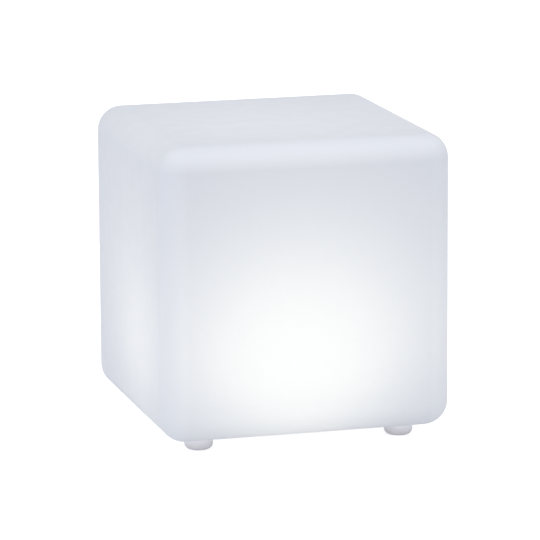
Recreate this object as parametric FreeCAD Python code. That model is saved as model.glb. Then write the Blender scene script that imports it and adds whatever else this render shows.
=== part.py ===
import FreeCAD, Part
import math
import os

Vector = FreeCAD.Vector
UP = Vector(0, 0, 1)

# A rechargeable glowing cube lamp. Sizes are in millimetres. +Z is up, the floor is z = 0, the
# front faces -Y, and the origin is on the floor under the middle of the cube.

# ---------------------------------------------------------------- driving dimensions
# The translucent cube and its feet.
cube_side = 200.0
edge_radius = 17.0
shell_wall = 3.0
foot_height = 9.0
foot_diameter = 19.3
foot_edge_radius = 4.0
foot_inset = 30.0                 # from the cube's side to the middle of a foot
foot_boss_radius = 7.0
foot_boss_height = 7.5            # above the underside of the cube

# Low-head screw, washer and brass insert of a foot.
foot_screw_radius = 2.0
foot_screw_length = 10.0
foot_screw_head_radius = 3.5
foot_screw_head_height = 2.6
foot_screw_hex = 3.0
foot_screw_hex_depth = 1.5
foot_screw_inset = 1.2            # head above the floor
foot_screw_tip = 0.8
foot_washer_thickness = 0.8
foot_washer_radius = 3.8
foot_washer_clearance = 0.15      # round the screw
foot_pocket_clearance = 0.1       # round the washer
foot_insert_radius = 2.8
foot_insert_length = 6.0

# The round opening under the cube, and the recessed seat around it.
opening_radius = 56.0
seat_width = 11.0                 # of the recess, out from the opening
seat_depth = 3.5
seat_ring_width = 3.0             # shell material outside the recess
seat_ring_thickness = 3.0         # shell material above the recess
seat_insert_radius = 2.3
seat_insert_length = 5.0
seat_boss_radius = 4.6
seat_boss_height = 4.0            # above the seat ring
insert_hole_spare = 0.5           # of a hole past its insert
gasket_thickness = 1.0
gasket_edge = 0.4                 # in from the flange's edge
gasket_bore_edge = 1.0            # out from the opening

# The cup-shaped cover that closes the opening.
flange_clearance = 0.4            # inside the recess
cover_wall = 2.2
dish_rise = 1.0                   # the middle of the cover sits in from its rim
dish_inset = 5.5                  # from the opening to the dished middle
dish_slope = 1.5
plate_thickness = 2.3
inner_corner_radius = 1.0

# Countersunk screws of the cover.
base_screw_count = 6
base_screw_start = 30.0
base_screw_radius = 1.45
base_screw_length = 7.4
base_screw_head_radius = 3.0
base_screw_sink = 0.1
base_screw_cross = 3.4
base_screw_cross_width = 0.95
base_screw_cross_depth = 1.2
base_screw_tip = 0.6

# The flat rechargeable cell, its foam pad and the steel strap over it.
battery_length = 60.0
battery_width = 42.0
battery_height = 8.0
battery_corner_radius = 3.0
battery_edge_radius = 1.2
battery_middle_y = 10.0
pad_thickness = 0.8
pad_inset = 4.0
pad_corner_radius = 2.0
rib_thickness = 1.5
rib_length = 8.0
rib_height = 4.0
rib_clearance = 0.3
strap_width = 14.0
strap_thickness = 0.8
strap_gap = 0.2
strap_side_gap = 1.2              # beside the cell
strap_reach = 7.0                 # from the cell's side to the strap's screw
strap_foot_length = 4.0           # past the screw
strap_bend_radius = 1.0
strap_post_radius = 2.75
strap_post_height = 3.7

# The D-shaped control board, on three posts of the cover.
board_thickness = 1.6
board_standoff = 7.1
board_clearance = 1.8             # inside the cover's wall
board_back_gap = 5.5              # from the cell to the board's straight edge
board_corner_radius = 1.5
board_boss_clearance = 0.4        # round the lid's bosses
board_post_radius = 2.5
side_post_inset = 5.85            # from the board's round edge
side_post_drop = 5.5              # from the board's straight edge
front_post_inset = 4.5            # from the board's round edge
board_screw_radius = 0.95
board_screw_length = 6.0
board_screw_head_radius = 1.9
board_screw_head_height = 1.3
pilot_spare = 0.6                 # of a threaded hole past its screw

# What hangs under the board. Depths are from the board's straight edge.
inductor_place = (-31.0, 7.5)
inductor_side = 7.0
inductor_height = 3.0
inductor_corner_radius = 1.6
inductor_core_radius = 3.1
inductor_groove_radius = 5.5
inductor_flange = 0.7
capacitor_places = [(30.5, 7.0), (29.0, 14.5)]
capacitor_radius = 2.5
capacitor_height = 5.4
chip_list = [
    # middle x, depth, length, width, height
    (0.0, 8.5, 5.0, 5.0, 0.9),
    (-9.0, 8.5, 5.0, 4.0, 1.5),
    (-17.0, 6.5, 3.0, 3.0, 1.0),
    (-22.5, 6.5, 3.0, 3.0, 1.0),
    (6.5, 10.0, 3.0, 3.0, 1.0),
    (23.5, 11.0, 2.0, 1.2, 0.8),
    (-9.0, 14.5, 2.0, 1.2, 0.8),
]

# The row of controls under the cover: button, indicator and charging port.
control_row_inset = 16.3          # from the cover's inner wall

# Push button, its seal and the switch behind it.
button_x = -18.0
button_radius = 6.1
button_clearance = 0.1
button_edge_radius = 0.6
button_dish = 0.4                 # hollow in the middle of its face
button_rim_rise = 0.1
button_rim_share = 0.75           # of its radius, where the hollow meets the rim
button_travel = 0.6
sleeve_wall = 1.6
sleeve_rise = 3.0
button_flange_width = 1.1
button_flange_thickness = 1.0
button_stop_gap = 0.05
oring_section_radius = 0.55
oring_clearance = 0.05
oring_groove_spare = 0.1
oring_rise = 2.15                 # bottom of the groove above the button's face
switch_side = 6.0
switch_height = 2.0
switch_corner_radius = 0.5
plunger_radius = 1.75
plunger_clearance = 0.1
plunger_insertion = 0.5
plunger_spare = 0.2               # of its well past the travel

# Charge indicator and its light pipe.
indicator_x = 0.0
pipe_radius = 1.5
pipe_clearance = 0.05
pipe_flange_radius = 2.6
pipe_flange_thickness = 1.0
pipe_gap = 0.4
indicator_length = 1.6
indicator_width = 0.8
indicator_height = 0.7

# Charging socket behind the port.
port_x = 16.0
socket_length = 8.94
socket_width = 3.26
socket_wall = 0.35
socket_clearance = 0.28
socket_inset = 0.2                # above the bottom of its land
socket_back_wall = 0.8
tongue_length = 6.7
tongue_thickness = 0.7
tongue_edge_radius = 0.21
tongue_recess = 0.7
port_rise = 2.0                   # depth of the plug pocket
port_land_thickness = 2.0
port_boss_wall = 1.8
port_boss_corner_radius = 3.0

# Hinged rubber cover over the port.
flap_length = 15.4
flap_reach = 5.5                  # past the middle of the socket, away from the hinge
flap_back = 7.8                   # past the middle of the socket, towards the hinge
flap_thickness = 1.2
flap_corner_radius = 3.0
flap_gap = 0.2
flap_swing_gap = 0.5              # behind the flap, where its back edge swings down
flap_seat_gap = 0.1
plug_length = 13.0
plug_width = 7.5
plug_taper = 0.4
plug_height = 1.9
plug_gap = 0.2
hinge_back = 9.4                  # from the middle of the socket to the hinge axis
bead_radius = 0.9
bead_length = 9.0
bead_clearance = 0.1
bead_rise = 0.05                  # of the bead above the cover's face
bead_boss_margin = 1.5            # past each end of the bead
bead_boss_height = 1.0
bead_boss_corner_radius = 1.0
bead_boss_setback = 4.0           # behind the port boss's front
hinge_strap_width = 8.0
hinge_strap_thickness = 0.9
hinge_strap_overlap = 1.0         # onto the flap
swing_slot_back = 0.65            # past the hinge axis
swing_slot_front = 2.0            # over the flap
thumb_notch_radius = 4.0
thumb_notch_depth = 0.8
thumb_notch_middle = 1.0          # outside the flap's edge
thumb_notch_overlap = 0.1

# Membrane that lets the sealed lamp breathe.
vent_out = 8.0                    # from the cell's end
vent_y = -4.0
vent_hole_count = 3
vent_hole_circle = 2.6
vent_hole_radius = 0.6
vent_radius = 5.0
vent_thickness = 0.4

# Lid of the electronics cup, its seal and screws.
lid_thickness = 2.0
lid_edge_radius = 0.5
lid_headroom = 1.5                # above the battery strap
lid_seal_thickness = 0.6
lid_seal_inset = 0.3
lid_seal_clearance = 0.1          # round the bosses
lid_clearance = 0.5               # all round, inside the opening of the cube
lid_screw_inset = 3.5             # from the cover's inner wall
lid_screw_count = 4
lid_screw_start = 45.0
lid_boss_radius = 3.8
lid_screw_radius = 1.2
lid_screw_length = 12.0
lid_screw_head_radius = 2.4
lid_screw_head_height = 1.4
lid_pilot_spare = 1.0

# Frosted cap over the light source and the ring that clamps it.
diffuser_radius = 43.0
diffuser_wall = 1.8
diffuser_flange_width = 2.7
diffuser_flange_thickness = 1.6
diffuser_shoulder = 7.9           # height of its straight side above the lid
diffuser_height = 14.4
diffuser_fillet = 4.0
ring_clearance = 0.3
ring_lip_thickness = 1.3
ring_lip_gap = 0.1
ring_bore_clearance = 0.6
ring_rim = 3.2                    # past the middle of the lid's screws
ring_edge = 0.5

# Light source on the lid: a round board with rings of light-emitting packages.
led_board_room = 7.2              # inside the diffuser
led_board_thickness = 1.6
led_board_edge = 0.2
thermal_pad_thickness = 0.5
thermal_pad_inset = 1.0
led_side = 5.0
led_height = 1.5
led_window = 4.0
led_window_depth = 0.4
led_ring_inset = 11.0             # of the outer ring, from the board's edge
led_ring_counts = (6, 12)         # inner and outer ring, besides the one in the middle
led_outer_ring_start = 15.0
led_screw_inset = 5.0             # from the board's edge
led_screw_count = 3
led_screw_start = 60.0
led_screw_radius = 1.2
led_screw_head_radius = 2.3
led_screw_head_height = 1.3
led_boss_radius = 2.6
led_boss_gap = 0.2                # above the battery strap
led_boss_floor = 0.3
led_pilot_spare = 0.2

# Leads.
battery_lead_diameter = 1.3
led_lead_diameter = 1.1
led_lead_spacing = 2.6
led_lead_out = 3.9                # from the light source's edge to where its leads rise
led_lead_depth = 3.02             # from the control board's straight edge
led_lead_hole_clearance = 0.2
led_lead_rise = 2.3               # above the light source's board, at the first bend
led_lead_crest = (4.7, 3.5)       # inward, and above the light source's board
led_lead_end = (7.7, 0.4)
connector_length = 8.0
connector_width = 5.5
connector_height = 3.6
connector_back = 2.0              # from the board's straight edge to the connector
connector_mouth_depth = 1.8
contact_pitch = 3.0
lead_insertion = 1.5
lead_shift = 5.0
lead_bend_share = 0.32            # of the gap that a lead crosses, before each bend

screw_clearance = 0.2             # of a through hole round a screw
thread_clearance = 0.05           # of a threaded hole round a screw
insert_clearance = 0.05           # of a moulded hole round a brass insert
small_chamfer = 0.3
past = 1.0                        # how far a cutting or joining body runs past the face it meets

# ---------------------------------------------------------------- levels and places
underside = foot_height
cube_top = underside + cube_side
foot_head_level = foot_screw_inset + foot_screw_head_height
foot_seat = foot_head_level + foot_washer_thickness
seat_level = underside + seat_depth
seat_ring_top = seat_level + seat_ring_thickness
flange_top = seat_level - gasket_thickness
plate_face = underside + dish_rise
plate_top = plate_face + plate_thickness
pad_top = plate_top + pad_thickness
battery_top = pad_top + battery_height
strap_top = battery_top + strap_gap + strap_thickness
strap_seat = plate_top + strap_post_height
lid_low = strap_top + lid_headroom
lid_top = lid_low + lid_thickness
cup_rim = lid_low - lid_seal_thickness
led_board_low = lid_top + thermal_pad_thickness
led_board_top = led_board_low + led_board_thickness
board_low = plate_top + board_standoff
board_top = board_low + board_thickness
ring_step = lid_top + diffuser_flange_thickness + ring_lip_gap
ring_top = ring_step + ring_lip_thickness
sleeve_top = plate_top + sleeve_rise
pocket_mouth = plate_face + flap_thickness + flap_seat_gap
land_low = pocket_mouth + port_rise
land_top = land_low + port_land_thickness
bead_level = plate_face + bead_radius + bead_rise
contact_level = board_low - connector_height / 2

foot_offset = cube_side / 2 - foot_inset
foot_places = {
    "foot_front_left": (-foot_offset, -foot_offset),
    "foot_front_right": (foot_offset, -foot_offset),
    "foot_back_left": (-foot_offset, foot_offset),
    "foot_back_right": (foot_offset, foot_offset),
}
seat_radius = opening_radius + seat_width
flange_radius = seat_radius - flange_clearance
base_screw_circle = opening_radius + seat_width / 2
dish_radius = opening_radius - dish_inset
cup_radius = opening_radius - lid_clearance
cup_inner_radius = cup_radius - cover_wall
lid_screw_circle = cup_inner_radius - lid_screw_inset
board_radius = cup_inner_radius - board_clearance

battery_x = battery_length / 2
battery_front = battery_middle_y - battery_width / 2
strap_screw_x = battery_x + strap_reach
vent_x = battery_x + vent_out
board_edge_y = battery_front - board_back_gap
side_post_y = board_edge_y - side_post_drop
side_post_x = math.sqrt((board_radius - side_post_inset) ** 2 - side_post_y ** 2)
board_post_places = [
    (-side_post_x, side_post_y),
    (side_post_x, side_post_y),
    (0.0, front_post_inset - board_radius),
]
control_row_y = control_row_inset - cup_inner_radius
hinge_y = control_row_y + hinge_back
flap_front = control_row_y - flap_reach
flap_rear = control_row_y + flap_back
sleeve_bore = button_radius + button_clearance
connector_y = board_edge_y - connector_back - connector_width / 2

led_board_radius = diffuser_radius - diffuser_wall - led_board_room
led_outer_circle = led_board_radius - led_ring_inset
led_rings = [
    # count, circle radius, start angle
    (1, 0.0, 0.0),
    (led_ring_counts[0], led_outer_circle / 2, 0.0),
    (led_ring_counts[1], led_outer_circle, led_outer_ring_start),
]
led_screw_circle = led_board_radius - led_screw_inset
led_boss_low = strap_top + led_boss_gap
led_pilot_low = led_boss_low + led_boss_floor
led_screw_length = led_board_top - led_pilot_low - led_pilot_spare
led_lead_circle = led_board_radius + led_lead_out
lead_direction = math.pi + math.asin((led_lead_depth - board_edge_y) / led_lead_circle)
lead_outward = Vector(math.cos(lead_direction), math.sin(lead_direction), 0)
lead_sideways = Vector(-lead_outward.y, lead_outward.x, 0) * (led_lead_spacing / 2)


# ---------------------------------------------------------------- small tools
def cylinder(radius, low, high, x=0.0, y=0.0):
    return Part.makeCylinder(radius, high - low, Vector(x, y, low))


def lying_cylinder(radius, length, y, level):
    """A cylinder along X, centred on the port."""
    start = Vector(port_x - length / 2, y, level)
    return Part.makeCylinder(radius, length, start, Vector(1, 0, 0))


def ring(outer, inner, low, high, x=0.0, y=0.0):
    return cylinder(outer, low, high, x, y).cut(cylinder(inner, low, high, x, y))


def block(length, width, low, high, x=0.0, y=0.0):
    corner = Vector(x - length / 2, y - width / 2, low)
    return Part.makeBox(length, width, high - low, corner)


def upright_edges(shape):
    """Edges that run straight along Z."""
    found = []
    for edge in shape.Edges:
        ends = edge.Vertexes
        if len(ends) == 2 and math.hypot(ends[0].X - ends[1].X, ends[0].Y - ends[1].Y) < 1e-6:
            found.append(edge)
    return found


def flat_edges(shape):
    """Edges that lie in a level plane."""
    return [edge for edge in shape.Edges if edge.BoundBox.ZLength < 1e-6]


def rim_edges(solid, radius, level):
    """Round edges at a given level, whose box ends at the radius along +X."""
    found = []
    for edge in flat_edges(solid):
        box = edge.BoundBox
        if abs(box.ZMin - level) < 1e-6 and abs(box.XMax - radius) < 0.01:
            found.append(edge)
    return found


def rounded_block(length, width, low, high, corner, x=0.0, y=0.0):
    """A block whose four upright edges are rounded."""
    solid = block(length, width, low, high, x, y)
    return solid.makeFillet(corner, upright_edges(solid))


def oblong(length, width, level):
    """A flat wire with round ends, centred on the port."""
    radius = width / 2
    half = length / 2 - radius
    left, right = port_x - half, port_x + half
    near, far = control_row_y - radius, control_row_y + radius
    right_end = Part.Arc(Vector(right, near, level), Vector(right + radius, control_row_y, level),
                         Vector(right, far, level))
    left_end = Part.Arc(Vector(left, far, level), Vector(left - radius, control_row_y, level),
                        Vector(left, near, level))
    near_side = Part.LineSegment(Vector(left, near, level), Vector(right, near, level))
    far_side = Part.LineSegment(Vector(right, far, level), Vector(left, far, level))
    return Part.Wire([side.toShape() for side in (near_side, right_end, far_side, left_end)])


def turned(outline, x=0.0, y=0.0):
    """A solid of revolution about the upright line at x, y.

    The outline is a closed list of (radius, z) points. A point that arc_to made carries two more
    numbers, the middle of the arc that leads to it.
    """
    edges = []
    last = outline[0]
    for point in outline[1:] + outline[:1]:
        start = Vector(last[0], 0, last[1])
        end = Vector(point[0], 0, point[1])
        if len(point) == 4:
            edges.append(Part.Arc(start, Vector(point[2], 0, point[3]), end).toShape())
        else:
            edges.append(Part.LineSegment(start, end).toShape())
        last = point
    face = Part.Face(Part.Wire(edges))
    solid = face.revolve(Vector(0, 0, 0), UP, 360)
    solid.translate(Vector(x, y, 0))
    return solid


def arc_to(radius, z, centre_radius, centre_z, size, angle):
    """An outline point reached by an arc: its end, then the arc's middle at an angle in degrees."""
    middle_radius = centre_radius + size * math.cos(math.radians(angle))
    middle_z = centre_z + size * math.sin(math.radians(angle))
    return (radius, z, middle_radius, middle_z)


def on_circle(count, radius, start=0.0):
    """Evenly spaced (x, y) places on a circle, from a start angle in degrees."""
    places = []
    for step in range(count):
        angle = math.radians(start + 360.0 * step / count)
        places.append((radius * math.cos(angle), radius * math.sin(angle)))
    return places


def hexagon(across_flats, low, high, x=0.0, y=0.0):
    corners = on_circle(6, across_flats / math.sqrt(3), 30)
    points = [Vector(x + cx, y + cy, low) for cx, cy in corners]
    face = Part.Face(Part.makePolygon(points + points[:1]))
    return face.extrude(Vector(0, 0, high - low))


def cheese_screw(radius, length, head_radius, head_height, seat, x, y):
    """A screw that points down, with its plain round head on the level called seat."""
    shank = cylinder(radius, seat - length, seat, x, y)
    head = cylinder(head_radius, seat, seat + head_height, x, y)
    return shank.fuse(head).removeSplitter()


def rounded_path(points):
    """Straight runs joined by tangent arcs, each as large as its shorter run allows."""
    edges = []
    radii = []
    start = points[0]
    for before, corner, after in zip(points, points[1:], points[2:]):
        back = before - corner
        ahead = after - corner
        turn = math.pi - back.getAngle(ahead)
        cut = 0.45 * min(back.Length, ahead.Length)
        radius = cut / math.tan(turn / 2)
        radii.append(radius)
        back.normalize()
        ahead.normalize()
        enter = corner + back * cut
        leave = corner + ahead * cut
        inward = back + ahead
        inward.normalize()
        centre = corner + inward * (radius / math.cos(turn / 2))
        middle = centre - inward * radius
        edges.append(Part.LineSegment(start, enter).toShape())
        edges.append(Part.Arc(enter, middle, leave).toShape())
        start = leave
    edges.append(Part.LineSegment(start, points[-1]).toShape())
    return Part.Wire(edges), radii


def lead(points, diameter, name):
    """A round lead along a rounded path; prints how tight its bends are."""
    path, radii = rounded_path(points)
    circle = Part.makeCircle(diameter / 2, points[0], points[1] - points[0])
    section = Part.Face(Part.Wire([circle]))
    solid = path.makePipe(section)
    expected = math.pi * diameter ** 2 / 4 * path.Length
    print("%s: bends of %s mm, volume %.1f of %.1f mm3"
          % (name, ", ".join("%.1f" % radius for radius in radii), solid.Volume, expected))
    return solid


pieces = {}


def keep(name, shape):
    """Remember a finished piece under the name that a person would use for it."""
    pieces[name] = shape


def keep_all(name, shapes):
    """Remember repeats of one small piece together."""
    pieces[name] = Part.makeCompound(shapes)


# ---------------------------------------------------------------- places of the screws
base_screw_places = on_circle(base_screw_count, base_screw_circle, base_screw_start)
lid_screw_places = on_circle(lid_screw_count, lid_screw_circle, lid_screw_start)
led_screw_places = on_circle(led_screw_count, led_screw_circle, led_screw_start)
strap_screw_places = [(-strap_screw_x, battery_middle_y), (strap_screw_x, battery_middle_y)]
led_lead_places = []
for side in (-1, 1):
    place = lead_outward * led_lead_circle + lead_sideways * side
    led_lead_places.append((place.x, place.y))


# ---------------------------------------------------------------- cube shell and feet
def rounded_cube(side, low, high, radius):
    solid = block(side, side, low, high)
    return solid.makeFillet(radius, solid.Edges)


def cube_shell():
    """Moulded translucent cube: even wall, rounded everywhere, with a screwed seat below."""
    outer = rounded_cube(cube_side, underside, cube_top, edge_radius)
    cavity = rounded_cube(cube_side - 2 * shell_wall, underside + shell_wall,
                          cube_top - shell_wall, edge_radius - shell_wall)
    walls = outer.cut(cavity)

    boss_top = seat_ring_top + seat_boss_height
    adds = [cylinder(seat_radius + seat_ring_width, underside, seat_ring_top)]
    cuts = [
        cylinder(seat_radius, underside - past, seat_level),
        cylinder(opening_radius, underside - past, boss_top + past),
    ]
    for x, y in base_screw_places:
        hole_top = seat_level + seat_insert_length + insert_hole_spare
        adds.append(cylinder(seat_boss_radius, seat_level, boss_top, x, y))
        cuts.append(cylinder(seat_insert_radius + insert_clearance,
                             seat_level - past, hole_top, x, y))
    for x, y in foot_places.values():
        hole_top = underside + foot_insert_length + insert_hole_spare
        adds.append(cylinder(foot_boss_radius, underside, underside + foot_boss_height, x, y))
        cuts.append(cylinder(foot_insert_radius + insert_clearance,
                             underside - past, hole_top, x, y))
    return walls.multiFuse(adds).cut(cuts).removeSplitter()


def foot(x, y):
    """Rubber foot: short straight side, large rounding to a flat sole, sunk screw."""
    radius = foot_diameter / 2
    sole = radius - foot_edge_radius
    pocket = foot_washer_radius + foot_pocket_clearance
    hole = foot_screw_radius + screw_clearance
    return turned([
        (hole, foot_seat),
        (pocket, foot_seat),
        (pocket, 0.0),
        (sole, 0.0),
        arc_to(radius, foot_edge_radius, sole, foot_edge_radius, foot_edge_radius, -45),
        (radius, foot_height),
        (hole, foot_height),
    ], x, y)


def foot_screw(x, y):
    """Low-head screw that points up through the foot into the shell's insert."""
    tip = foot_head_level + foot_screw_length
    solid = turned([
        (0.0, foot_screw_inset),
        (foot_screw_head_radius - small_chamfer, foot_screw_inset),
        (foot_screw_head_radius, foot_screw_inset + small_chamfer),
        (foot_screw_head_radius, foot_head_level),
        (foot_screw_radius, foot_head_level),
        (foot_screw_radius, tip - foot_screw_tip),
        (foot_screw_radius - foot_screw_tip, tip),
        (0.0, tip),
    ], x, y)
    recess_top = foot_screw_inset + foot_screw_hex_depth
    return solid.cut(hexagon(foot_screw_hex, foot_screw_inset - past, recess_top, x, y))


def make_shell_and_feet():
    keep("cube_shell", cube_shell())
    for name, (x, y) in foot_places.items():
        keep(name, foot(x, y))
    places = list(foot_places.values())
    washer_bore = foot_screw_radius + foot_washer_clearance
    insert_bore = foot_screw_radius + thread_clearance
    insert_top = underside + foot_insert_length
    keep_all("foot_washers",
             [ring(foot_washer_radius, washer_bore, foot_head_level, foot_seat, x, y)
              for x, y in places])
    keep_all("foot_screws", [foot_screw(x, y) for x, y in places])
    keep_all("foot_inserts", [ring(foot_insert_radius, insert_bore, underside, insert_top, x, y)
                              for x, y in places])


# ---------------------------------------------------------------- base cover and its seat
def cup_body():
    """Turned body of the cover: flange, dished plate and upright wall."""
    corner_middle = cup_inner_radius - inner_corner_radius
    return turned([
        (0.0, plate_face),
        (dish_radius, plate_face),
        (dish_radius + dish_slope, underside),
        (flange_radius - small_chamfer, underside),
        (flange_radius, underside + small_chamfer),
        (flange_radius, flange_top),
        (cup_radius, flange_top),
        (cup_radius, cup_rim),
        (cup_inner_radius, cup_rim),
        (cup_inner_radius, plate_top + inner_corner_radius),
        arc_to(corner_middle, plate_top, corner_middle, plate_top + inner_corner_radius,
               inner_corner_radius, -45),
        (0.0, plate_top),
    ])


def battery_ribs():
    """Four low L-shaped ribs that hold the corners of the cell."""
    ribs = []
    out_x = battery_x + rib_clearance + rib_thickness
    out_y = battery_width / 2 + rib_clearance + rib_thickness
    rib_top = plate_top + rib_height
    for side in (-1, 1):
        for end in (-1, 1):
            along = block(rib_length, rib_thickness, plate_top, rib_top,
                          side * (out_x - rib_length / 2),
                          battery_middle_y + end * (out_y - rib_thickness / 2))
            across = block(rib_thickness, rib_length, plate_top, rib_top,
                           side * (out_x - rib_thickness / 2),
                           battery_middle_y + end * (out_y - rib_length / 2))
            ribs.append(along.fuse(across))
    return ribs


def port_boss():
    """Thickened blocks inside the cover, round the socket and over the flap's hinge."""
    length = plug_length + 2 * (plug_gap + port_boss_wall)
    width = plug_width + 2 * (plug_gap + port_boss_wall)
    tall = rounded_block(length, width, plate_top - past, land_top, port_boss_corner_radius,
                         port_x, control_row_y)
    front = control_row_y - width / 2 + bead_boss_setback
    back = hinge_y + bead_radius + bead_clearance + port_boss_wall / 2
    low = rounded_block(bead_length + 2 * bead_boss_margin, back - front, plate_top - past,
                        plate_top + bead_boss_height, bead_boss_corner_radius,
                        port_x, (back + front) / 2)
    return [tall, low]


def port_cuts():
    """Flap recess, plug pocket, socket hole, hinge groove, swing slot and thumb notch."""
    below = plate_face - past
    recess_front = flap_front - flap_gap
    recess_back = flap_rear + flap_swing_gap
    recess = rounded_block(flap_length + 2 * flap_gap, recess_back - recess_front, below,
                           pocket_mouth, flap_corner_radius + flap_gap,
                           port_x, (recess_front + recess_back) / 2)
    pocket_wire = oblong(plug_length + 2 * plug_gap, plug_width + 2 * plug_gap, below)
    pocket = Part.Face(pocket_wire).extrude(UP * (land_low - below))
    hole_wire = oblong(socket_length + 2 * socket_clearance,
                       socket_width + 2 * socket_clearance, below)
    hole = Part.Face(hole_wire).extrude(UP * (land_top + past - below))

    groove = lying_cylinder(bead_radius + bead_clearance, bead_length + 2 * flap_gap,
                            hinge_y, bead_level)
    slot_width = hinge_strap_width + 2 * flap_gap
    slot_front = flap_rear - swing_slot_front
    slot_back = hinge_y + swing_slot_back
    slot = block(slot_width, slot_back - slot_front, below, bead_level,
                 port_x, (slot_back + slot_front) / 2)
    over_strap = block(slot_width, hinge_y - slot_front, below,
                       bead_level + hinge_strap_thickness / 2 + flap_seat_gap,
                       port_x, (hinge_y + slot_front) / 2)

    notch_top = plate_face + thumb_notch_depth
    notch = cylinder(thumb_notch_radius, below, notch_top, port_x, flap_front - thumb_notch_middle)
    outside_flap = block(2 * thumb_notch_radius, 2 * thumb_notch_radius, below, notch_top,
                         port_x, flap_front - thumb_notch_radius + thumb_notch_overlap)
    return [recess, pocket, hole, groove, slot, over_strap, notch.common(outside_flap)]


def base_cover():
    """Cup-shaped cover that closes the cube and carries all the electronics."""
    adds = battery_ribs() + port_boss()
    cuts = port_cuts()
    low = plate_top - past

    pilot = lid_screw_radius + thread_clearance
    for x, y in lid_screw_places:
        adds.append(cylinder(lid_boss_radius, low, lid_low, x, y))
        hole_low = ring_top - lid_screw_length - lid_pilot_spare
        cuts.append(cylinder(pilot, hole_low, lid_low + past, x, y))
    for x, y in strap_screw_places:
        adds.append(cylinder(strap_post_radius, low, strap_seat, x, y))
        cuts.append(cylinder(pilot, plate_top - pilot_spare, strap_seat + past, x, y))
    for x, y in board_post_places:
        hole_low = board_top - board_screw_length - pilot_spare
        adds.append(cylinder(board_post_radius, low, board_low, x, y))
        cuts.append(cylinder(board_screw_radius + thread_clearance,
                             hole_low, board_low + past, x, y))

    below = plate_face - past
    adds.append(cylinder(sleeve_bore + sleeve_wall, low, sleeve_top, button_x, control_row_y))
    cuts.append(cylinder(sleeve_bore, below, sleeve_top + past, button_x, control_row_y))
    cuts.append(cylinder(pipe_radius + pipe_clearance, below, plate_top + past,
                         indicator_x, control_row_y))
    for x, y in on_circle(vent_hole_count, vent_hole_circle, 90):
        cuts.append(cylinder(vent_hole_radius, below, plate_top + past, vent_x + x, vent_y + y))

    hole = base_screw_radius + screw_clearance + thread_clearance
    head = base_screw_head_radius + screw_clearance
    for x, y in base_screw_places:
        cuts.append(cylinder(hole, underside - past, flange_top + past, x, y))
        cuts.append(Part.makeCone(head, hole, head - hole, Vector(x, y, underside), UP))

    body = cup_body().multiFuse(adds).removeSplitter()
    return body.cut(cuts).removeSplitter()


def base_screw(x, y):
    """Countersunk screw with a cross recess that points up through the cover's flange."""
    low = underside + base_screw_sink
    cone_top = low + base_screw_head_radius - base_screw_radius
    tip = low + base_screw_length
    solid = turned([
        (0.0, low),
        (base_screw_head_radius, low),
        (base_screw_radius, cone_top),
        (base_screw_radius, tip - base_screw_tip),
        (base_screw_radius - base_screw_tip, tip),
        (0.0, tip),
    ], x, y)
    recess_top = low + base_screw_cross_depth
    arm = block(base_screw_cross, base_screw_cross_width, low - past, recess_top, x, y)
    other_arm = block(base_screw_cross_width, base_screw_cross, low - past, recess_top, x, y)
    return solid.cut([arm, other_arm])


def seat_gasket():
    """Flat seal between the cover's flange and the cube, holed for the screws."""
    hole = base_screw_radius + 2 * screw_clearance
    holes = [cylinder(hole, flange_top - past, seat_level + past, x, y)
             for x, y in base_screw_places]
    return ring(flange_radius - gasket_edge, opening_radius + gasket_bore_edge,
                flange_top, seat_level).cut(holes)


def make_base():
    keep("base_cover", base_cover())
    keep("seat_gasket", seat_gasket())
    keep_all("base_screws", [base_screw(x, y) for x, y in base_screw_places])
    insert_bore = base_screw_radius + thread_clearance
    insert_top = seat_level + seat_insert_length
    keep_all("seat_inserts", [ring(seat_insert_radius, insert_bore, seat_level, insert_top, x, y)
                              for x, y in base_screw_places])
    vent_top = plate_top + vent_thickness
    keep("breather_vent", cylinder(vent_radius, plate_top, vent_top, vent_x, vent_y))


# ---------------------------------------------------------------- push button
def power_button():
    """Hollowed cap that slides in the cover's sleeve, held in by its inner flange."""
    radius = button_radius
    rim = radius - button_edge_radius
    flange_low = sleeve_top + button_stop_gap
    flange_high = flange_low + button_flange_thickness
    flange = radius + button_flange_width
    groove_low = plate_face + oring_rise
    groove_high = groove_low + 2 * (oring_section_radius + oring_groove_spare)
    groove = sleeve_bore - 2 * (oring_clearance + oring_section_radius)
    return turned([
        (0.0, plate_face + button_dish),
        (radius * button_rim_share, plate_face + button_rim_rise),
        (rim, plate_face),
        arc_to(radius, plate_face + button_edge_radius, rim, plate_face + button_edge_radius,
               button_edge_radius, -45),
        (radius, groove_low),
        (groove, groove_low),
        (groove, groove_high),
        (radius, groove_high),
        (radius, flange_low),
        (flange, flange_low),
        (flange, flange_high),
        (0.0, flange_high),
    ], button_x, control_row_y)


def make_button():
    keep("power_button", power_button())
    seal_radius = sleeve_bore - oring_clearance - oring_section_radius
    seal_level = plate_face + oring_rise + oring_section_radius + oring_groove_spare
    keep("button_oring", Part.makeTorus(seal_radius, oring_section_radius,
                                        Vector(button_x, control_row_y, seal_level), UP))
    switch_low = board_low - switch_height
    plunger_low = sleeve_top + button_stop_gap + button_flange_thickness
    plunger_high = switch_low + plunger_insertion
    keep("switch_plunger", cylinder(plunger_radius, plunger_low, plunger_high,
                                    button_x, control_row_y))
    body = rounded_block(switch_side, switch_side, switch_low, board_low, switch_corner_radius,
                         button_x, control_row_y)
    well_top = plunger_high + button_travel + plunger_spare
    keep("tact_switch", body.cut(cylinder(plunger_radius + plunger_clearance, switch_low - past,
                                          well_top, button_x, control_row_y)))


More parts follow.
